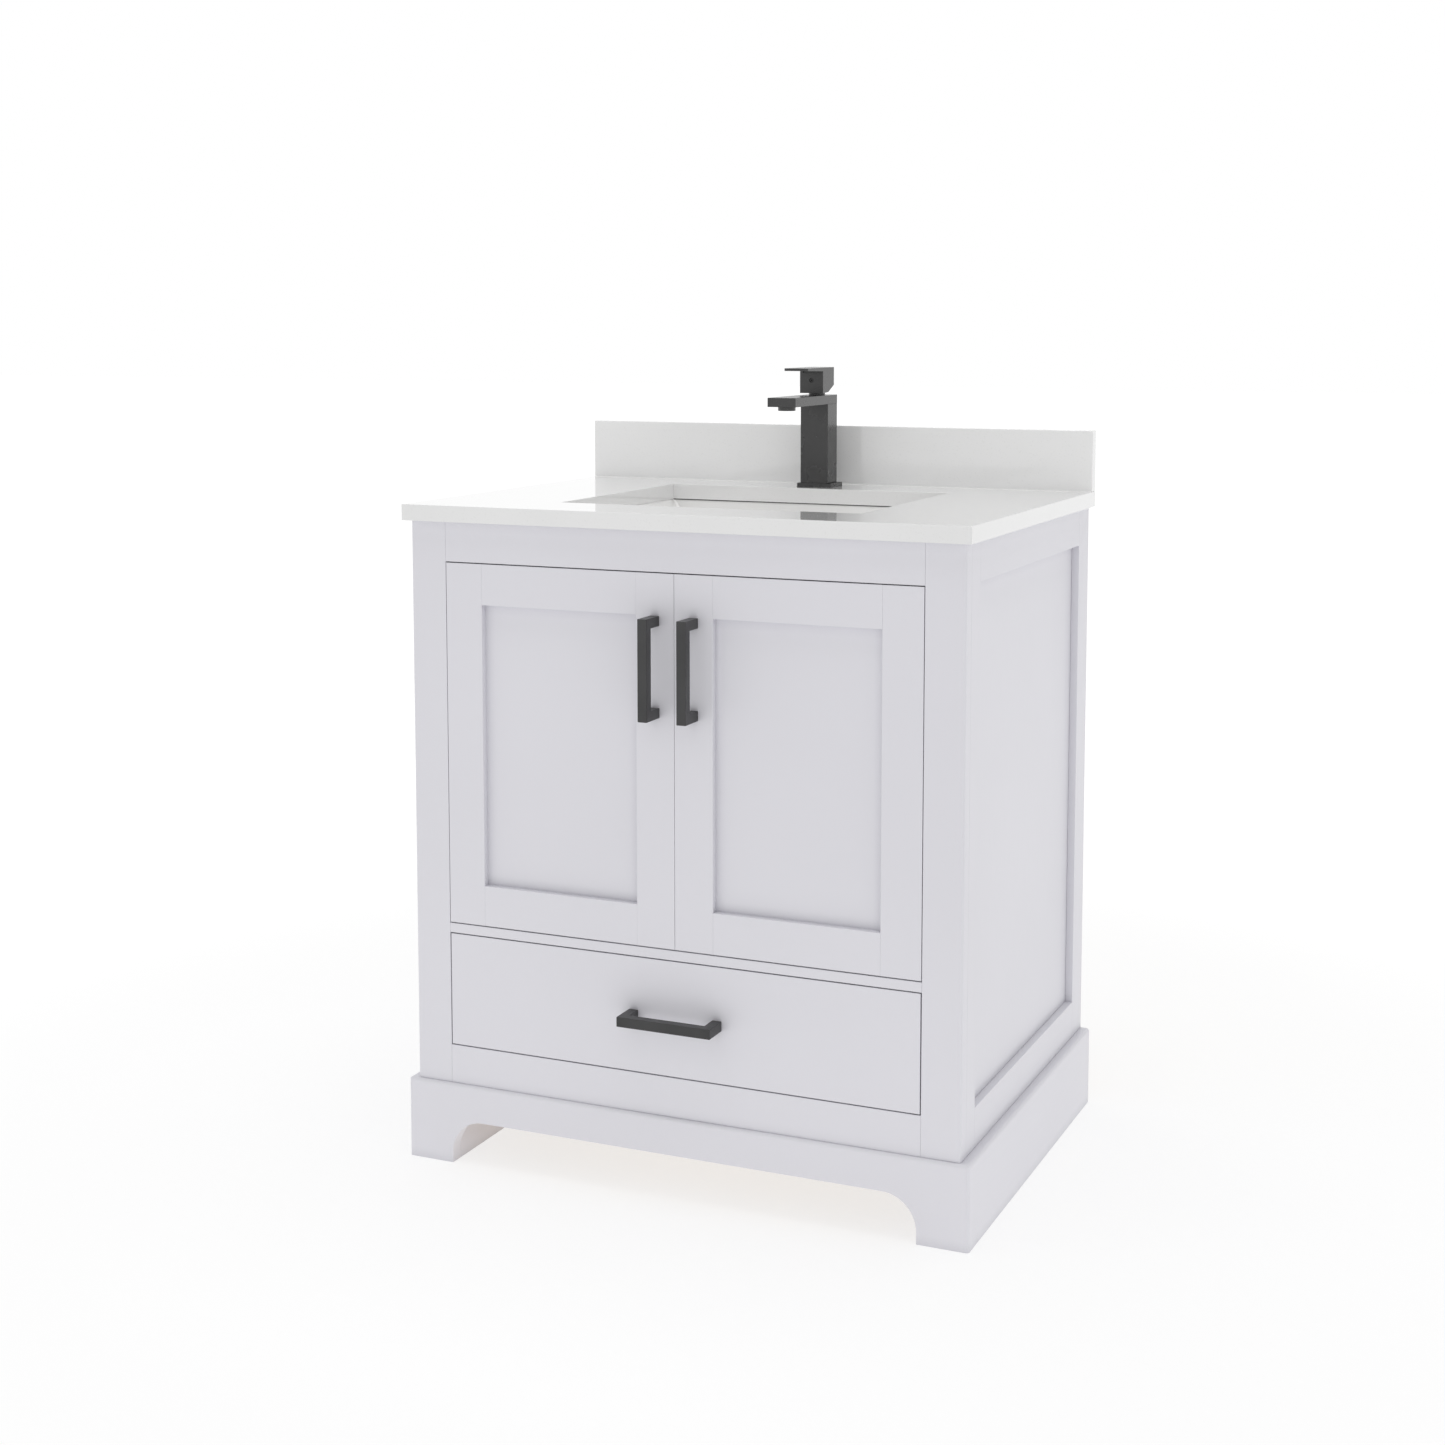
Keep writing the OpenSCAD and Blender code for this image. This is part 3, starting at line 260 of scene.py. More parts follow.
paint = {along: paintMaterial("paintedWood" + along, along) for along in "XYZ"}
board = {along: boardMaterial("birchBoard" + along, along) for along in "XYZ"}
quartz = quartzMaterial()
china = chinaMaterial()
blackFaucet = blackMaterial("blackFaucetMetal", {
    "deep": (0.014, 0.014, 0.0142), "worn": (0.017, 0.017, 0.0172),
    "roughness": (0.28, 0.262), "ior": 1.62, "coat": 0.12, "grit": 0.04,
})
blackPull = blackMaterial("blackPullMetal", {
    "deep": (0.024, 0.024, 0.025), "worn": (0.034, 0.034, 0.035),
    "roughness": (0.48, 0.4), "ior": 1.5, "coat": 0.12, "grit": 0.16,
})
chrome = chromeMaterial()
zinc = zincMaterial()
paleSealant = softMaterial("paleSealant", (0.85, 0.85, 0.845), (0.8, 0.8, 0.795), 0.4)
# This dark sealant is painted shadow, used for the strip that stands for shade in the basin seam
seamShadowPaint = softMaterial("seamShadowPaint", (0.1, 0.1, 0.1), (0.06, 0.06, 0.06), 0.6)
rubber = softMaterial("blackRubber", (0.05, 0.05, 0.052), (0.03, 0.03, 0.031), 0.7)
print("materials made")


# A merged copy of the nodes' meshes
def nodeMesh(*nodes):
    bm = bmesh.new()
    for node in nodes:
        bm.from_mesh(frame["nodes"][node].data)
    bmesh.ops.remove_doubles(bm, verts=bm.verts, dist=0.00001)
    return bm


def joinFlatFaces(bm):
    bmesh.ops.dissolve_limit(bm, angle_limit=radians(0.4), verts=bm.verts, edges=bm.edges)


def sharpEdges(bm, degrees):
    return [e for e in bm.edges if e.is_manifold and e.calc_face_angle(0.0) > radians(degrees)]


def easeEdges(bm, edges, width, segments=2):
    bmesh.ops.bevel(bm, geom=edges, offset=width, offset_type="OFFSET", segments=segments,
                    profile=0.5, affect="EDGES", clamp_overlap=True, material=-1)


# Makes a finished mesh into a piece that rides on a body
def finishPiece(bm, name, material, body, smooth=35, weighted=False):
    bmesh.ops.recalc_face_normals(bm, faces=bm.faces)
    mesh = bpy.data.meshes.new(name)
    bm.to_mesh(mesh)
    bm.free()
    piece = bpy.data.objects.new(name, mesh)
    bpy.context.scene.collection.objects.link(piece)
    mesh.materials.append(material)
    for face in mesh.polygons:
        face.use_smooth = True
    mesh.set_sharp_from_angle(angle=radians(smooth))
    if weighted:
        steady = piece.modifiers.new("steadyShading", "WEIGHTED_NORMAL")
        steady.keep_sharp = True
        steady.weight = 100
    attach(piece, body)
    return piece


# Stands for a node with its edges eased, as a sanded or moulded piece has them
def easedCopy(node, material, width, segments, shaping=None):
    bm = nodeMesh(node)
    joinFlatFaces(bm)
    if shaping:
        shaping(bm)
    easeEdges(bm, sharpEdges(bm, 30), width, segments)
    piece = finishPiece(bm, node + "Dressed", material, nodeBody[node], smooth=50, weighted=True)
    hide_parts(node)


# Eases each node of a table that gives its material, edge width, segments and any shaping
def dressAll(table):
    for node, (material, width, segments, *shaping) in table.items():
        easedCopy(node, material, width, segments, shaping=shaping[0] if shaping else None)


# Spins points of (radius, height) about an upright line; an open outline starts and ends on it
def addTurned(bm, outline, centre, steps=32, closed=False):
    points = [bm.verts.new((centre[0] + radius, centre[1], height)) for radius, height in outline]
    ends = points[1:] + points[:1] if closed else points[1:]
    lines = [bm.edges.new(pair) for pair in zip(points, ends)]
    bmesh.ops.spin(bm, geom=points + lines, cent=(centre[0], centre[1], 0.0), axis=(0.0, 0.0, 1.0),
                   angle=2 * pi, steps=steps, use_merge=True)
    bmesh.ops.remove_doubles(bm, verts=bm.verts, dist=0.000001)


# A closed ridge swept up a screw line
def addThread(bm, thread):
    stepsPerTurn = 24
    turns = (thread["top"] - thread["bottom"]) / thread["pitch"] - 1
    steps = int(turns * stepsPerTurn)
    corners = ((-0.0003, 0.05), (thread["height"], 0.5), (-0.0003, 0.95))
    x, y = thread["centre"]
    points = [bm.verts.new((x + thread["radius"] + out, y, thread["bottom"] + up * thread["pitch"]))
              for out, up in corners]
    lines = [bm.edges.new(pair) for pair in zip(points, points[1:] + points[:1])]
    swept = bmesh.ops.spin(bm, geom=points + lines, cent=(x, y, 0.0), axis=(0.0, 0.0, 1.0),
                           dvec=(0.0, 0.0, thread["pitch"] / stepsPerTurn),
                           angle=2 * pi * steps / stepsPerTurn, steps=steps)
    bm.faces.new(points)
    bm.faces.new([v for v in swept["geom_last"] if isinstance(v, bmesh.types.BMVert)])


# A low domed screw head facing +Z, with a cross cut into it
def crossHead(head):
    radius, height, length, width = head["radius"], head["height"], head["cross"], head["cross"] * 0.27
    bm = bmesh.new()
    bmesh.ops.create_cone(bm, cap_ends=True, segments=24, radius1=radius, radius2=radius * 0.9, depth=height)
    bmesh.ops.translate(bm, verts=bm.verts, vec=(0.0, 0.0, height / 2))
    crown = [e for e in bm.edges if all(v.co.z > height * 0.99 for v in e.verts)]
    easeEdges(bm, crown, height * 0.45, 3)
    for axis in (Vector((1, 0, 0)), Vector((0, 1, 0))):
        for off in (-length / 2, -width / 2, width / 2, length / 2):
            top = [f for f in bm.faces if f.calc_center_median().z > height * 0.999]
            region = set(top) | {e for f in top for e in f.edges} | {v for f in top for v in f.verts}
            bmesh.ops.bisect_plane(bm, geom=list(region), plane_co=axis * off, plane_no=axis)
    cross = []
    for face in bm.faces:
        place = face.calc_center_median()
        across, along = sorted((abs(place.x), abs(place.y)))
        if place.z > height * 0.999 and across < width / 2 and along < length / 2:
            cross.append(face)
    cut = bmesh.ops.extrude_face_region(bm, geom=cross)["geom"]
    bmesh.ops.translate(bm, verts=[v for v in cut if isinstance(v, bmesh.types.BMVert)],
                        vec=(0.0, 0.0, -height * 0.7))
    unit = bpy.data.meshes.new("screwHeadUnit")
    bm.to_mesh(unit)
    bm.free()
    return unit


# Copies of a small mesh, which faces +Z, set at places and turned to face given ways
def repeated(unit, spots):
    bm = bmesh.new()
    for place, way in spots:
        first = len(bm.verts)
        bm.from_mesh(unit)
        bm.verts.ensure_lookup_table()
        turn = Vector(way).to_track_quat("Z", "Y").to_matrix().to_4x4()
        bmesh.ops.transform(bm, matrix=Matrix.Translation(place) @ turn, verts=bm.verts[first:])
    return bm


def screwPiece(name, head, body, spots):
    finishPiece(repeated(crossHead(head), spots), name, zinc, body, smooth=40)


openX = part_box("bottom_rail")[1].x
faceY, faceBackY = (corner.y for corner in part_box("bottom_rail"))


# Eases the plinth boards, whose edges in the mitres, on the floor and at the wall stay sharp
def plinthPieces():
    shape = {"ease": 0.0007, "segments": 2, "mitreWithin": 0.00005, "endWithin": 0.0001}
    cornerX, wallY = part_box("plinth_sides")[1].x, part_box("plinth_sides")[1].y
    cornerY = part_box("plinth_front")[0].y

    def staysSharp(a, b):
        fromMitre = [abs(abs(end.x) - cornerX + end.y - cornerY) for end in (a, b)]
        inMitre = a.x * b.x > 0 and max(fromMitre) < shape["mitreWithin"]
        onFloor = max(a.z, b.z) < shape["endWithin"]
        atWall = min(a.y, b.y) > wallY - shape["endWithin"]
        return inMitre or onFloor or atWall

    for node, along in (("plinth_front", "X"), ("plinth_sides", "Y")):
        bm = nodeMesh(node)
        joinFlatFaces(bm)
        bmesh.ops.recalc_face_normals(bm, faces=bm.faces[:])
        easeEdges(bm, [e for e in sharpEdges(bm, 30) if not staysSharp(*(v.co for v in e.verts))],
                  shape["ease"], shape["segments"])
        loose = sum(not e.is_manifold for e in bm.edges)
        piece = finishPiece(bm, node + "Dressed", paint[along], "cabinet",
                            smooth=50, weighted=True)
        corners = piece.data.vertices
        for edge in piece.data.edges:
            if staysSharp(*(corners[k].co for k in edge.vertices)):
                edge.use_edge_sharp = True
        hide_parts(node)
        print(node, "eased, loose edges:", loose)


# Brings the doors' front meeting edges close together; their backs stay bevelled to pass
def closeMeetingEdge(bm):
    meeting = {"halfGap": 0.0002, "within": 0.0006, "frontDepth": 0.001}
    for v in bm.verts:
        if abs(v.co.x) < meeting["within"] and v.co.y < faceY + meeting["frontDepth"]:
            v.co.x = meeting["halfGap"] if v.co.x > 0 else -meeting["halfGap"]


paintedPieces = {
    "face_stiles": (paint["Z"], 0.0005, 2),
    "top_rail": (paint["X"], 0.0005, 2),
    "middle_rail": (paint["X"], 0.0005, 2),
    "bottom_rail": (paint["X"], 0.0005, 2),
    "drawer_front": (paint["X"], 0.0004, 2),
}
for side in ("left", "right"):
    paintedPieces.update({
        side + "_side_stiles": (paint["Z"], 0.0005, 2),
        side + "_side_rails": (paint["Y"], 0.0005, 2),
        side + "_side_panel": (paint["Z"], 0.0004, 1),
        side + "_door_stiles": (paint["Z"], 0.0003, 2, closeMeetingEdge),
        side + "_door_rails": (paint["X"], 0.0003, 2),
        side + "_door_panel": (paint["Z"], 0.0004, 1),
    })
dressAll(paintedPieces)
plinthPieces()
print("painted pieces eased")

boardPieces = {
    "back_top_rail": (board["X"], 0.0006, 2),
    "back_panel": (board["X"], 0.0004, 2),
    "deck": (board["X"], 0.0005, 2),
    "cabinet_floor": (board["X"], 0.0005, 2),
    "corner_braces": (board["X"], 0.0008, 2),
    "plinth_back": (board["X"], 0.0006, 2),
    "hinge_blocks": (board["Z"], 0.0008, 2),
    "slide_battens": (board["Y"], 0.0008, 2),
    "drawer_sides": (board["Y"], 0.0009, 2),
    "drawer_ends": (board["X"], 0.0009, 2),
    "drawer_bottom": (board["X"], 0.0003, 1),
}
dressAll(boardPieces)
print("board pieces eased")

dressAll({"countertop": (quartz, 0.0012, 3), "backsplash": (quartz, 0.0012, 3)})
dressAll({"sink_basin": (china, 0.0015, 2)})
dressAll({
    "drain_flange": (chrome, 0.0003, 2),
    "drain_stopper": (chrome, 0.0003, 2),
    "drain_tailpiece": (chrome, 0.0002, 1),
})


# A hollow bead of sealant in the corner between slab and backsplash
def splashBead():
    bead = {"leg": 0.0017, "endGap": 0.0008, "arcSteps": 6}
    low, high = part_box("backsplash")
    corner = Vector((low.x + bead["endGap"], low.y, low.z))
    leg = bead["leg"]
    bm = bmesh.new()
    arc = [(leg, 0.0)]
    for step in range(1, bead["arcSteps"]):
        share = step / bead["arcSteps"]
        arc.append((leg * (1 - share) ** 1.8, leg * share ** 1.8))
    arc.append((0.0, leg))
    outline = [(-0.0006, -0.0003), (leg, -0.0003)] + arc + [(-0.0006, leg)]
    profile = bm.faces.new([bm.verts.new((corner.x, corner.y - out, corner.z + up)) for out, up in outline])
    grown = bmesh.ops.extrude_face_region(bm, geom=[profile], use_keep_orig=True)["geom"]
    bmesh.ops.translate(bm, verts=[v for v in grown if isinstance(v, bmesh.types.BMVert)],
                        vec=(high.x - low.x - 2 * bead["endGap"], 0.0, 0.0))
    bmesh.ops.remove_doubles(bm, verts=bm.verts, dist=0.000001)
    finishPiece(bm, "splashSealBead", paleSealant, "cabinet", smooth=60)


# The pale seal between the slab and the basin's rim, with a dark strip along its back that is painted shadow,
# standing for the shade in the seam there
def basinSeal():
    seal = {"back": 0.0003, "width": 0.0013, "height": 0.0013, "mouthOver": 0.0015}
    low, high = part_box("sink_basin")
    rim = 0.022 + seal["mouthOver"]
    halfX = (high.x - low.x) / 2 - rim + seal["back"] + seal["width"]
    halfY = (high.y - low.y) / 2 - rim + seal["back"] + seal["width"]
    bm = bmesh.new()
    bmesh.ops.create_grid(bm, x_segments=1, y_segments=1, size=1.0)
    bmesh.ops.scale(bm, vec=(halfX, halfY, 1.0), verts=bm.verts)
    bmesh.ops.translate(bm, vec=(0.0, (low.y + high.y) / 2, high.z), verts=bm.verts)
    inner = bmesh.ops.inset_region(bm, faces=bm.faces[:], thickness=seal["width"],
                                   use_boundary=True, use_even_offset=True)
    middle = [f for f in bm.faces if f not in inner["faces"]]
    bmesh.ops.delete(bm, geom=middle, context="FACES")
    bmesh.ops.solidify(bm, geom=bm.faces[:], thickness=seal["height"])
    top = max(v.co.z for v in bm.verts)
    bmesh.ops.translate(bm, vec=(0.0, 0.0, high.z - top), verts=bm.verts)
    finishPiece(bm, "basinSealRing", paleSealant, "cabinet", smooth=40)
    # Painted shadow: a dark strip along the seal's back, where the seam lies in shade
    shadow = bmesh.new()
    bmesh.ops.create_cube(shadow, size=1.0)
    size = (2 * (halfX - seal["width"]), seal["width"], seal["height"])
    bmesh.ops.scale(shadow, vec=size, verts=shadow.verts)
    backY = (low.y + high.y) / 2 + halfY - seal["width"] - 0.0001
    bmesh.ops.translate(shadow, verts=shadow.verts,
                        vec=(0.0, backY + seal["width"] / 2, high.z - seal["height"] / 2))
    easeEdges(shadow, shadow.edges[:], 0.00015, 2)
    finishPiece(shadow, "basinSeamPaintedShadow", seamShadowPaint, "cabinet", smooth=40)


# Thread on the drain's tube, between the nut under the basin and the slip nut
def drainThread():
    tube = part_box("drain_lock_nut")[0].z
    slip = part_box("drain_slip_nut")[1].z
    middle = (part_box("drain_flange")[0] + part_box("drain_flange")[1]) / 2
    bm = bmesh.new()
    addThread(bm, {"centre": (middle.x, middle.y), "radius": 0.0218, "height": 0.0006,
                   "pitch": 0.0018, "bottom": slip - 0.002, "top": tube + 0.002})
    finishPiece(bm, "drainTubeThread", chrome, "cabinet", smooth=70)


splashBead()
basinSeal()
drainThread()
print("slab, basin and drain dressed")

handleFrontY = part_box("faucet_handle")[1].y - 0.0422


# A narrow shadow groove across the handle's front, where the lever's plate sits on the block
def grooveHandle(bm):
    groove = {"height": 0.0022, "depth": 0.0016, "left": -0.0125, "right": 0.0165, "under": 0.0052}
    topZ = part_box("faucet_handle")[1].z - groove["under"]
    bottomZ = topZ - groove["height"]

    def frontFaces():
        return [f for f in bm.faces if all(abs(v.co.y - handleFrontY) < 0.00005 for v in f.verts)]

    for place, way in (((0, 0, topZ), (0, 0, 1)), ((0, 0, bottomZ), (0, 0, 1)),
                       ((groove["left"], 0, 0), (1, 0, 0)), ((groove["right"], 0, 0), (1, 0, 0))):
        front = frontFaces()
        region = set(front) | {e for f in front for e in f.edges} | {v for f in front for v in f.verts}
        bmesh.ops.bisect_plane(bm, geom=list(region), plane_co=place, plane_no=way)
    strip = []
    for face in frontFaces():
        middle = face.calc_center_median()
        if groove["left"] < middle.x < groove["right"] and bottomZ < middle.z < topZ:
            strip.append(face)
    cut = bmesh.ops.extrude_face_region(bm, geom=strip)["geom"]
    bmesh.ops.translate(bm, verts=[v for v in cut if isinstance(v, bmesh.types.BMVert)],
                        vec=(0.0, groove["depth"], 0.0))
    bmesh.ops.delete(bm, geom=[f for f in strip if f.is_valid], context="FACES_ONLY")
    print("handle grooved, loose edges:", sum(not e.is_manifold for e in bm.edges))


dressAll({
    "faucet_base": (blackFaucet, 0.0006, 3),
    "faucet_column": (blackFaucet, 0.0006, 3),
    "faucet_spout": (blackFaucet, 0.0006, 3),
    "faucet_aerator": (blackFaucet, 0.0004, 2),
    "faucet_handle": (blackFaucet, 0.0006, 3, grooveHandle),
    "left_door_pull": (blackPull, 0.0008, 3),
    "right_door_pull": (blackPull, 0.0008, 3),
    "drawer_pull": (blackPull, 0.0008, 3),
})


# Black ring that covers the cartridge's neck between the spout and the handle
def neckRing():
    ring = {"inner": 0.0108, "outer": 0.0115, "clear": 0.0003, "ease": 0.0002}
    middle = (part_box("faucet_cartridge")[0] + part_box("faucet_cartridge")[1]) / 2
    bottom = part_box("faucet_spout")[1].z + ring["clear"]
    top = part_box("faucet_handle")[0].z - ring["clear"]
    bm = bmesh.new()
    addTurned(bm, [
        (ring["inner"], bottom), (ring["outer"] - ring["ease"], bottom), (ring["outer"], bottom + ring["ease"]),
        (ring["outer"], top - ring["ease"]), (ring["outer"] - ring["ease"], top), (ring["inner"], top),
    ], (middle.x, middle.y), steps=48, closed=True)
    finishPiece(bm, "faucetNeckRing", blackFaucet, nodeBody["faucet_cartridge"])


# Small screw with a six-sided key hole, sunk in the hole in the handle's front
def setScrew():
    screw = {"radius": 0.003, "sunk": 0.001, "long": 0.0024, "key": 0.0015, "keyDeep": 0.0014}
    low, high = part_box("faucet_handle")
    place = Vector(((low.x + high.x) / 2, handleFrontY + screw["sunk"], (low.z + high.z) / 2))
    bm = bmesh.new()
    outer = bmesh.ops.create_circle(bm, segments=24, radius=screw["radius"])["verts"]
    key = bmesh.ops.create_circle(bm, segments=6, radius=screw["key"])["verts"]
    rimLines = [e for e in bm.edges if e.verts[0] in outer]
    keyLines = [e for e in bm.edges if e.verts[0] in key]
    bmesh.ops.bridge_loops(bm, edges=rimLines + keyLines)
    for lines, depth in ((keyLines, screw["keyDeep"]), (rimLines, screw["long"])):
        wall = bmesh.ops.extrude_edge_only(bm, edges=lines)["geom"]
        bmesh.ops.translate(bm, verts=[v for v in wall if isinstance(v, bmesh.types.BMVert)],
                            vec=(0.0, 0.0, -depth))
    bmesh.ops.holes_fill(bm, edges=[e for e in bm.edges if e.is_boundary], sides=0)
    turn = Vector((0, -1, 0)).to_track_quat("Z", "Y").to_matrix().to_4x4()
    bmesh.ops.transform(bm, matrix=Matrix.Translation(place) @ turn, verts=bm.verts)
    finishPiece(bm, "handleSetScrew", blackPull, nodeBody["faucet_handle"], smooth=30)


# Honeycomb of small cells in the hollow under the spout
def aeratorInsert():
    insert = {"radius": 0.0093, "cell": 0.0011, "wall": 0.00018, "deep": 0.001, "sunk": 0.0006}
    low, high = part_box("faucet_aerator")
    middle = (low + high) / 2
    openingZ = low.z + insert["sunk"]
    bm = bmesh.new()
    stepX, stepY = sqrt(3) * insert["cell"], 1.5 * insert["cell"]
    reach = int(insert["radius"] / stepY) + 1
    for row in range(-reach, reach + 1):
        for column in range(-reach, reach + 1):
            x, y = (column + (row % 2) / 2) * stepX, row * stepY
            if sqrt(x * x + y * y) < insert["radius"] - insert["cell"]:
                cellPlace = Matrix.Translation((middle.x + x, middle.y + y, openingZ))
                bmesh.ops.create_circle(bm, cap_ends=True, segments=6, radius=insert["cell"], matrix=cellPlace)
    bmesh.ops.remove_doubles(bm, verts=bm.verts, dist=0.00001)
    cells = bm.faces[:]
    bmesh.ops.inset_individual(bm, faces=cells, thickness=insert["wall"])
    floors = bmesh.ops.extrude_discrete_faces(bm, faces=cells)["faces"]
    bmesh.ops.translate(bm, verts=list({v for f in floors for v in f.verts}), vec=(0.0, 0.0, insert["deep"]))
    skirt = bmesh.ops.extrude_edge_only(bm, edges=[e for e in bm.edges if e.is_boundary])["geom"]
    bmesh.ops.translate(bm, verts=[v for v in skirt if isinstance(v, bmesh.types.BMVert)],
                        vec=(0.0, 0.0, insert["deep"] + 0.0003))
    bmesh.ops.holes_fill(bm, edges=[e for e in bm.edges if e.is_boundary], sides=0)
    finishPiece(bm, "aeratorHoneycomb", blackPull, nodeBody["faucet_aerator"], smooth=20)


# Thin rubber gasket that just shows round the foot of the base plate
def baseGasket():
    gasket = {"proud": 0.0005, "height": 0.0007, "corner": 0.0012}
    low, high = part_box("faucet_base")
    bm = bmesh.new()
    bmesh.ops.create_cube(bm, size=1.0)
    size, over = high - low, 2 * gasket["proud"]
    bmesh.ops.scale(bm, vec=(size.x + over, size.y + over, gasket["height"]), verts=bm.verts)
    upright = [e for e in bm.edges if abs(e.verts[0].co.z - e.verts[1].co.z) > gasket["height"] / 2]
    easeEdges(bm, upright, gasket["corner"], 3)
    easeEdges(bm, [e for e in bm.edges if all(v.co.z > 0 for v in e.verts)], gasket["height"] * 0.4, 2)
    middle = (low + high) / 2
    bmesh.ops.translate(bm, verts=bm.verts, vec=(middle.x, middle.y, low.z + gasket["height"] / 2))
    finishPiece(bm, "faucetGasket", rubber, "cabinet", smooth=40)


def shankThread():
    low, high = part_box("faucet_shank")
    middle = (low + high) / 2
    bm = bmesh.new()
    addThread(bm, {"centre": (middle.x, middle.y), "radius": 0.016, "height": 0.0005,
                   "pitch": 0.0015, "bottom": low.z + 0.001, "top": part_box("countertop")[0].z + 0.002})
    finishPiece(bm, "faucetShankThread", zinc, "cabinet", smooth=70)


neckRing()
setScrew()
aeratorInsert()
baseGasket()
shankThread()
print("faucet and pulls dressed")

zincPieces = {
    "sink_clips": (zinc, 0.0004, 2),
    "drain_lock_nut": (zinc, 0.0006, 2),
    "drain_slip_nut": (zinc, 0.0006, 2),
    "faucet_shank": (zinc, 0.0005, 2),
    "faucet_nut": (zinc, 0.0006, 2),
    "faucet_cartridge": (zinc, 0.0004, 2),
    "hinge_arms": (zinc, 0.0003, 2),
    "slide_outer_members": (zinc, 0.0003, 1),
    "slide_middle_members": (zinc, 0.0003, 1),
    "slide_inner_members": (zinc, 0.0003, 1),
}
for side in ("left", "right"):
    zincPieces.update({
        side + "_hinge_cups": (zinc, 0.0003, 2),
        side + "_hinge_rear_links": (zinc, 0.0003, 1),
        side + "_hinge_front_links": (zinc, 0.0003, 1),
    })
dressAll(zincPieces)


# Screws of the hinges, and the riveted ends of their pins
def hingeFixings():
    hinge = {"fromEdge": 0.075, "plateStart": 0.006, "armOut": 0.009, "armPinIn": 0.006, "armPinBack": 0.012,
             "earOuter": 0.00535, "linkOuter": 0.00345, "linkHalf": 0.0035}
    plateHead = {"radius": 0.0036, "height": 0.0013, "cross": 0.0044}
    flangeHead = {"radius": 0.0032, "height": 0.001, "cross": 0.004}
    adjustHead = {"radius": 0.0027, "height": 0.0007, "cross": 0.0036}
    rivetOutline = [(0.0, 0.0), (0.0026, 0.0), (0.0026, 0.0003), (0.002, 0.0007), (0.0, 0.0008)]
    rivet = bmesh.new()
    addTurned(rivet, rivetOutline, (0.0, 0.0), steps=20)
    rivetUnit = bpy.data.meshes.new("rivetUnit")
    rivet.to_mesh(rivetUnit)
    rivet.free()
    doorLow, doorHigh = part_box("right_door_stiles")
    heights = (doorLow.z + hinge["fromEdge"], doorHigh.z - hinge["fromEdge"])
    cupLow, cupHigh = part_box("right_hinge_cups")
    cupX, cupPinY = (cupLow.x + cupHigh.x) / 2, faceBackY + 0.004
    linkLow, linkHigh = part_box("right_hinge_rear_links")
    elbow = (linkLow.x + hinge["linkHalf"], linkHigh.y - hinge["linkHalf"])
    up, down = (0, 0, 1), (0, 0, -1)
    plates, adjusters, armRivets = [], [], []
    for side, mirror in (("left", -1), ("right", 1)):
        inward = (-mirror, 0, 0)
        flanges, cupRivets, rearRivets, frontRivets = [], [], [], []
        for z in heights:
            for back in (0.018, 0.062):
                for rise in (-0.0098, 0.0098):
                    plateY = faceBackY + hinge["plateStart"] + back
                    plates.append((Vector((mirror * openX, plateY, z + rise)), inward))
            for back in (0.036, 0.064):
                adjusters.append((Vector((mirror * (openX - hinge["armOut"]), faceBackY + back, z)), inward))
            for rise in (-0.0222, 0.0222):
                flanges.append((Vector((mirror * cupX, faceBackY + 0.0012, z + rise)), (0, 1, 0)))
            for way, sign in ((up, 1), (down, -1)):
                armX, armY = mirror * (openX - hinge["armPinIn"]), faceBackY + hinge["armPinBack"]
                armRivets.append((Vector((armX, armY, z + sign * hinge["earOuter"])), way))
                cupRivets.append((Vector((mirror * cupX, cupPinY, z + sign * hinge["earOuter"])), way))
            rearRivets.append((Vector((mirror * elbow[0], elbow[1], z - hinge["linkOuter"])), down))
            frontRivets.append((Vector((mirror * elbow[0], elbow[1], z + hinge["linkOuter"])), up))
        screwPiece(side + "CupScrews", flangeHead, side + "_door", flanges)
        for name, body, spots in (("CupRivets", "_door", cupRivets), ("RearLinkRivets", "_rear_links", rearRivets),
                                  ("FrontLinkRivets", "_front_links", frontRivets)):
            finishPiece(repeated(rivetUnit, spots), side + name, zinc, side + body)
    screwPiece("hingePlateScrews", plateHead, "cabinet", plates)
    screwPiece("hingeAdjustScrews", adjustHead, "cabinet", adjusters)
    finishPiece(repeated(rivetUnit, armRivets), "hingeArmRivets", zinc, "cabinet")


# Screws through the doors and the drawer box that hold the pulls and the drawer's front
def pullScrews():
    head = {"radius": 0.004, "height": 0.0022, "cross": 0.005}
    for side in ("left", "right"):
        low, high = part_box(side + "_door_pull")
        bar = high.x - low.x
        spots = [(Vector(((low.x + high.x) / 2, faceBackY, z)), (0, 1, 0))
                 for z in (low.z + bar / 2, high.z - bar / 2)]
        screwPiece(side + "PullScrews", head, side + "_door", spots)
    low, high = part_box("drawer_pull")
    bar = high.z - low.z
    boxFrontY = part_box("drawer_ends")[0].y + 0.012
    z = (low.z + high.z) / 2
    spots = [(Vector((x, boxFrontY, z)), (0, 1, 0)) for x in (low.x + bar / 2, high.x - bar / 2)]
    spots += [(Vector((x, boxFrontY, z + rise)), (0, 1, 0)) for x in (-0.22, 0.22) for rise in (-0.026, 0.026)]
    screwPiece("drawerFrontScrews", head, "drawer", spots)


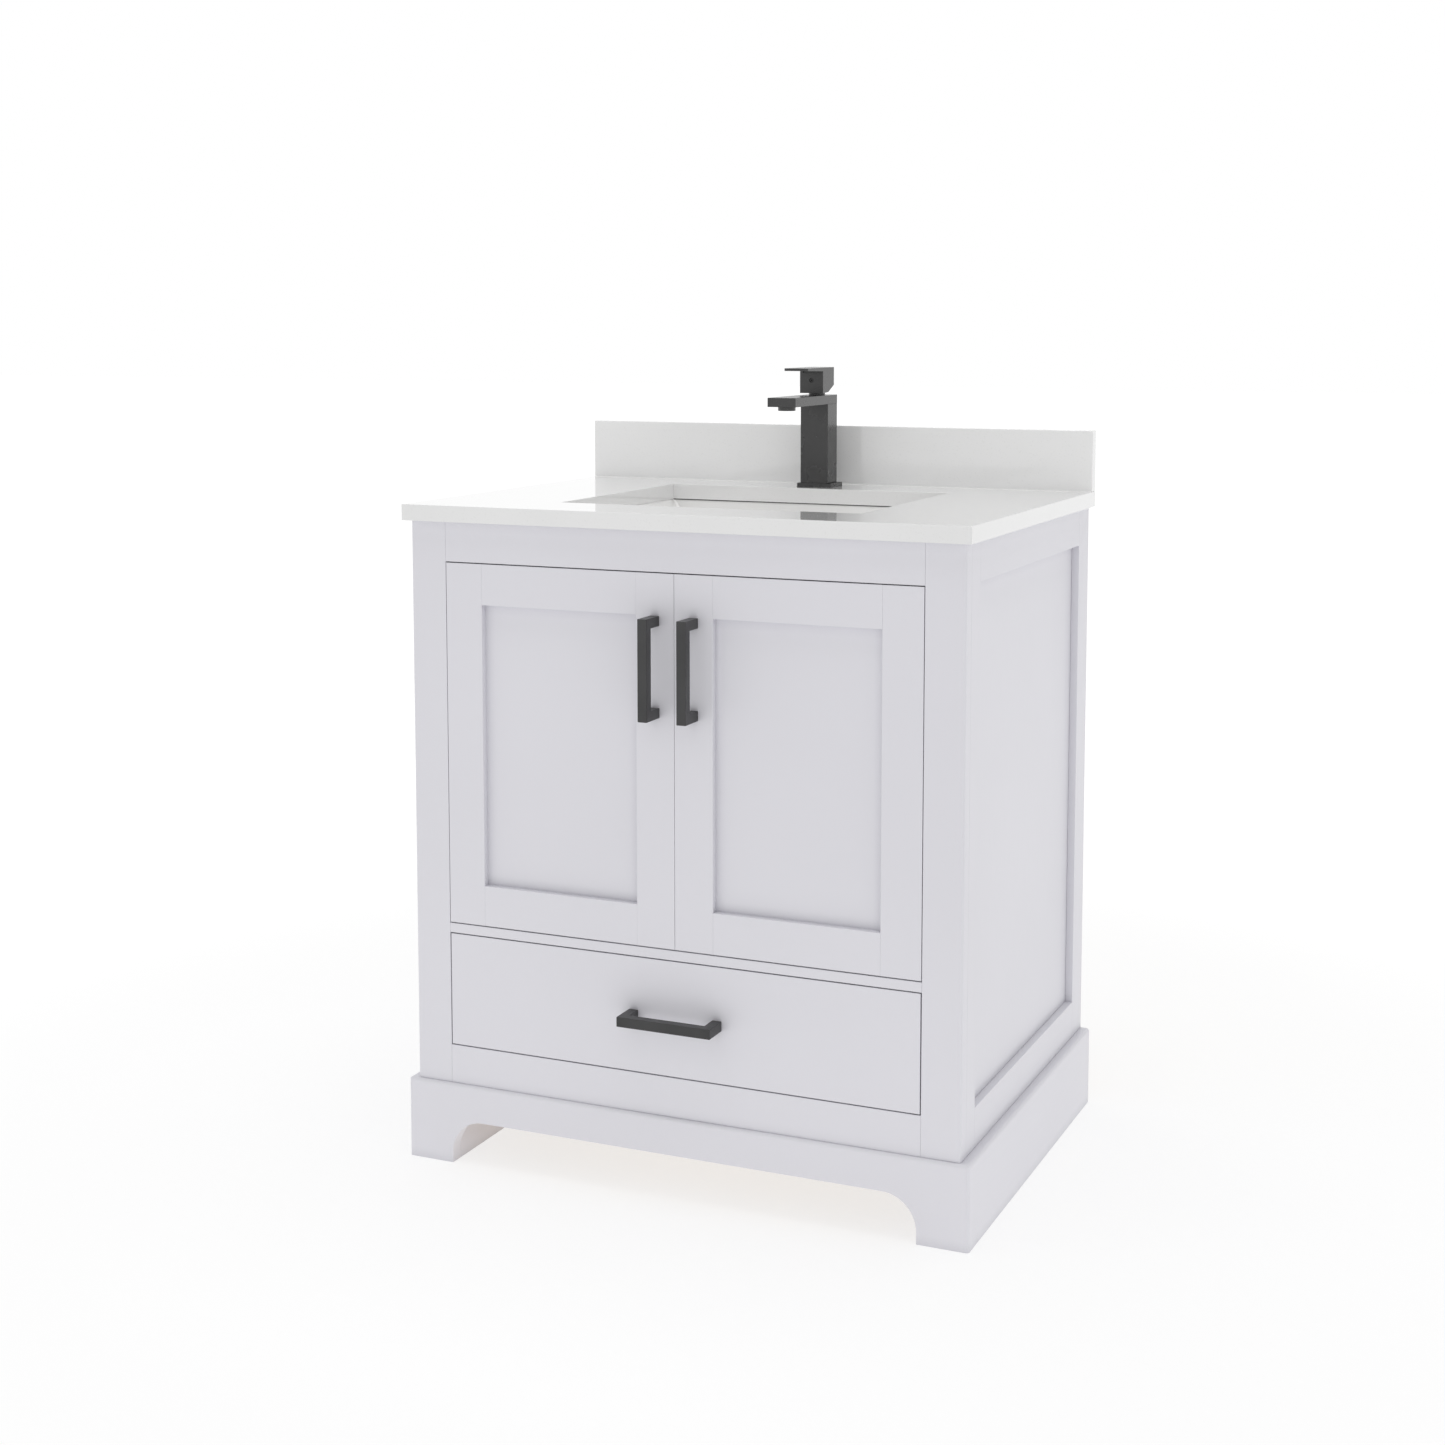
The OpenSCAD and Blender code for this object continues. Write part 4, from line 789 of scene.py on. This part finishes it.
# Screws up through the corner braces and through the clips that hold the basin
def undersideScrews():
    braceHead = {"radius": 0.004, "height": 0.0016, "cross": 0.005}
    clipHead = {"radius": 0.0036, "height": 0.002, "cross": 0.0044}
    low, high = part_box("corner_braces")
    spots = []
    for mirror in (-1, 1):
        for cornerY, way in ((low.y, 1), (high.y, -1)):
            for along, across in ((0.013, 0.036), (0.036, 0.013)):
                spots.append((Vector((mirror * (high.x - along), cornerY + way * across, low.z)), (0, 0, -1)))
    screwPiece("braceScrews", braceHead, "cabinet", spots)
    low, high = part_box("sink_clips")
    spots = [(Vector((mirror * (high.x - 0.007), y, low.z)), (0, 0, -1))
             for mirror in (-1, 1) for y in (low.y + 0.013, high.y - 0.013)]
    screwPiece("clipScrews", clipHead, "cabinet", spots)


hingeFixings()
pullScrews()
undersideScrews()
print("hinges, slides and screws dressed")


# A floor that lights the object evenly but is seen as near white, with the object's shadow on it
def floorMaterial():
    floor = {"colour": (0.76, 0.76, 0.76), "seenColour": (0.34, 0.34, 0.34),
             "glow": 0.52, "seenGlow": 0.7, "farGlow": 0.88, "near": 0.9, "far": 2.6}
    material, tree, shader = startMaterial("studioFloor", Specular_IOR_Level=0.0, Roughness=1.0)
    seen = seenRays(tree)
    tree.links.new(mixed(tree, seen, floor["colour"], floor["seenColour"]), shader.inputs["Base Color"])
    away = addNode(tree, "VectorMath", {0: objectPoint(tree)}, operation="LENGTH").outputs["Value"]
    seenGlow = addNode(tree, "MapRange", {
        "Value": away, "From Min": floor["near"], "From Max": floor["far"],
        "To Min": floor["seenGlow"], "To Max": floor["farGlow"],
    }, interpolation_type="SMOOTHSTEP").outputs["Result"]
    strength = addNode(tree, "Mix", {0: seen, 2: floor["glow"], 3: seenGlow}, data_type="FLOAT").outputs[0]
    glow = addNode(tree, "Emission", {"Color": (1.0, 1.0, 1.0, 1.0), "Strength": strength})
    both = addNode(tree, "AddShader")
    tree.links.new(shader.outputs["BSDF"], both.inputs[0])
    tree.links.new(glow.outputs["Emission"], both.inputs[1])
    tree.links.new(both.outputs["Shader"], tree.nodes["Material Output"].inputs["Surface"])
    return material


# A pale floor, an even pale surround and one broad lamp overhead
def buildStudio():
    studio = {"floorHalf": 30.0, "surround": 0.55, "seenSurround": 1.0,
              "lampSize": 2.4, "lampHeight": 3.4, "lampPower": 42.0}
    bm = bmesh.new()
    bmesh.ops.create_grid(bm, x_segments=4, y_segments=4, size=studio["floorHalf"])
    mesh = bpy.data.meshes.new("floor")
    bm.to_mesh(mesh)
    bm.free()
    floor = bpy.data.objects.new("floor", mesh)
    mesh.materials.append(floorMaterial())
    bpy.context.scene.collection.objects.link(floor)

    world = bpy.data.worlds.new("surround")
    world.use_nodes = True
    tree = world.node_tree
    dim = tree.nodes["Background"]
    dim.inputs["Color"].default_value = (1.0, 1.0, 1.0, 1.0)
    dim.inputs["Strength"].default_value = studio["surround"]
    bright = addNode(tree, "Background", {"Color": (1.0, 1.0, 1.0, 1.0), "Strength": studio["seenSurround"]})
    choice = addNode(tree, "MixShader", {"Fac": seenRays(tree)})
    tree.links.new(dim.outputs["Background"], choice.inputs[1])
    tree.links.new(bright.outputs["Background"], choice.inputs[2])
    tree.links.new(choice.outputs["Shader"], tree.nodes["World Output"].inputs["Surface"])
    bpy.context.scene.world = world

    lamp = bpy.data.lights.new("overhead", "AREA")
    lamp.shape = "SQUARE"
    lamp.size = studio["lampSize"]
    lamp.energy = studio["lampPower"]
    overhead = bpy.data.objects.new("overhead", lamp)
    overhead.location = (0.0, 0.0, studio["lampHeight"])
    bpy.context.scene.collection.objects.link(overhead)


def buildCamera():
    view = {"place": (1.13709, -2.67738, 1.10276), "turn": (84.3611, 0.0291, 23.8885),
            "lens": 54.987, "shiftDown": 0.13}
    data = bpy.data.cameras.new("camera")
    data.lens = view["lens"]
    data.sensor_width = 36.0
    data.shift_y = -view["shiftDown"]
    camera = bpy.data.objects.new("camera", data)
    camera.location = view["place"]
    camera.rotation_euler = [radians(angle) for angle in view["turn"]]
    bpy.context.scene.collection.objects.link(camera)
    bpy.context.scene.camera = camera


buildStudio()
buildCamera()
bpy.context.scene.view_settings.view_transform = "Standard"
print("studio and camera set")
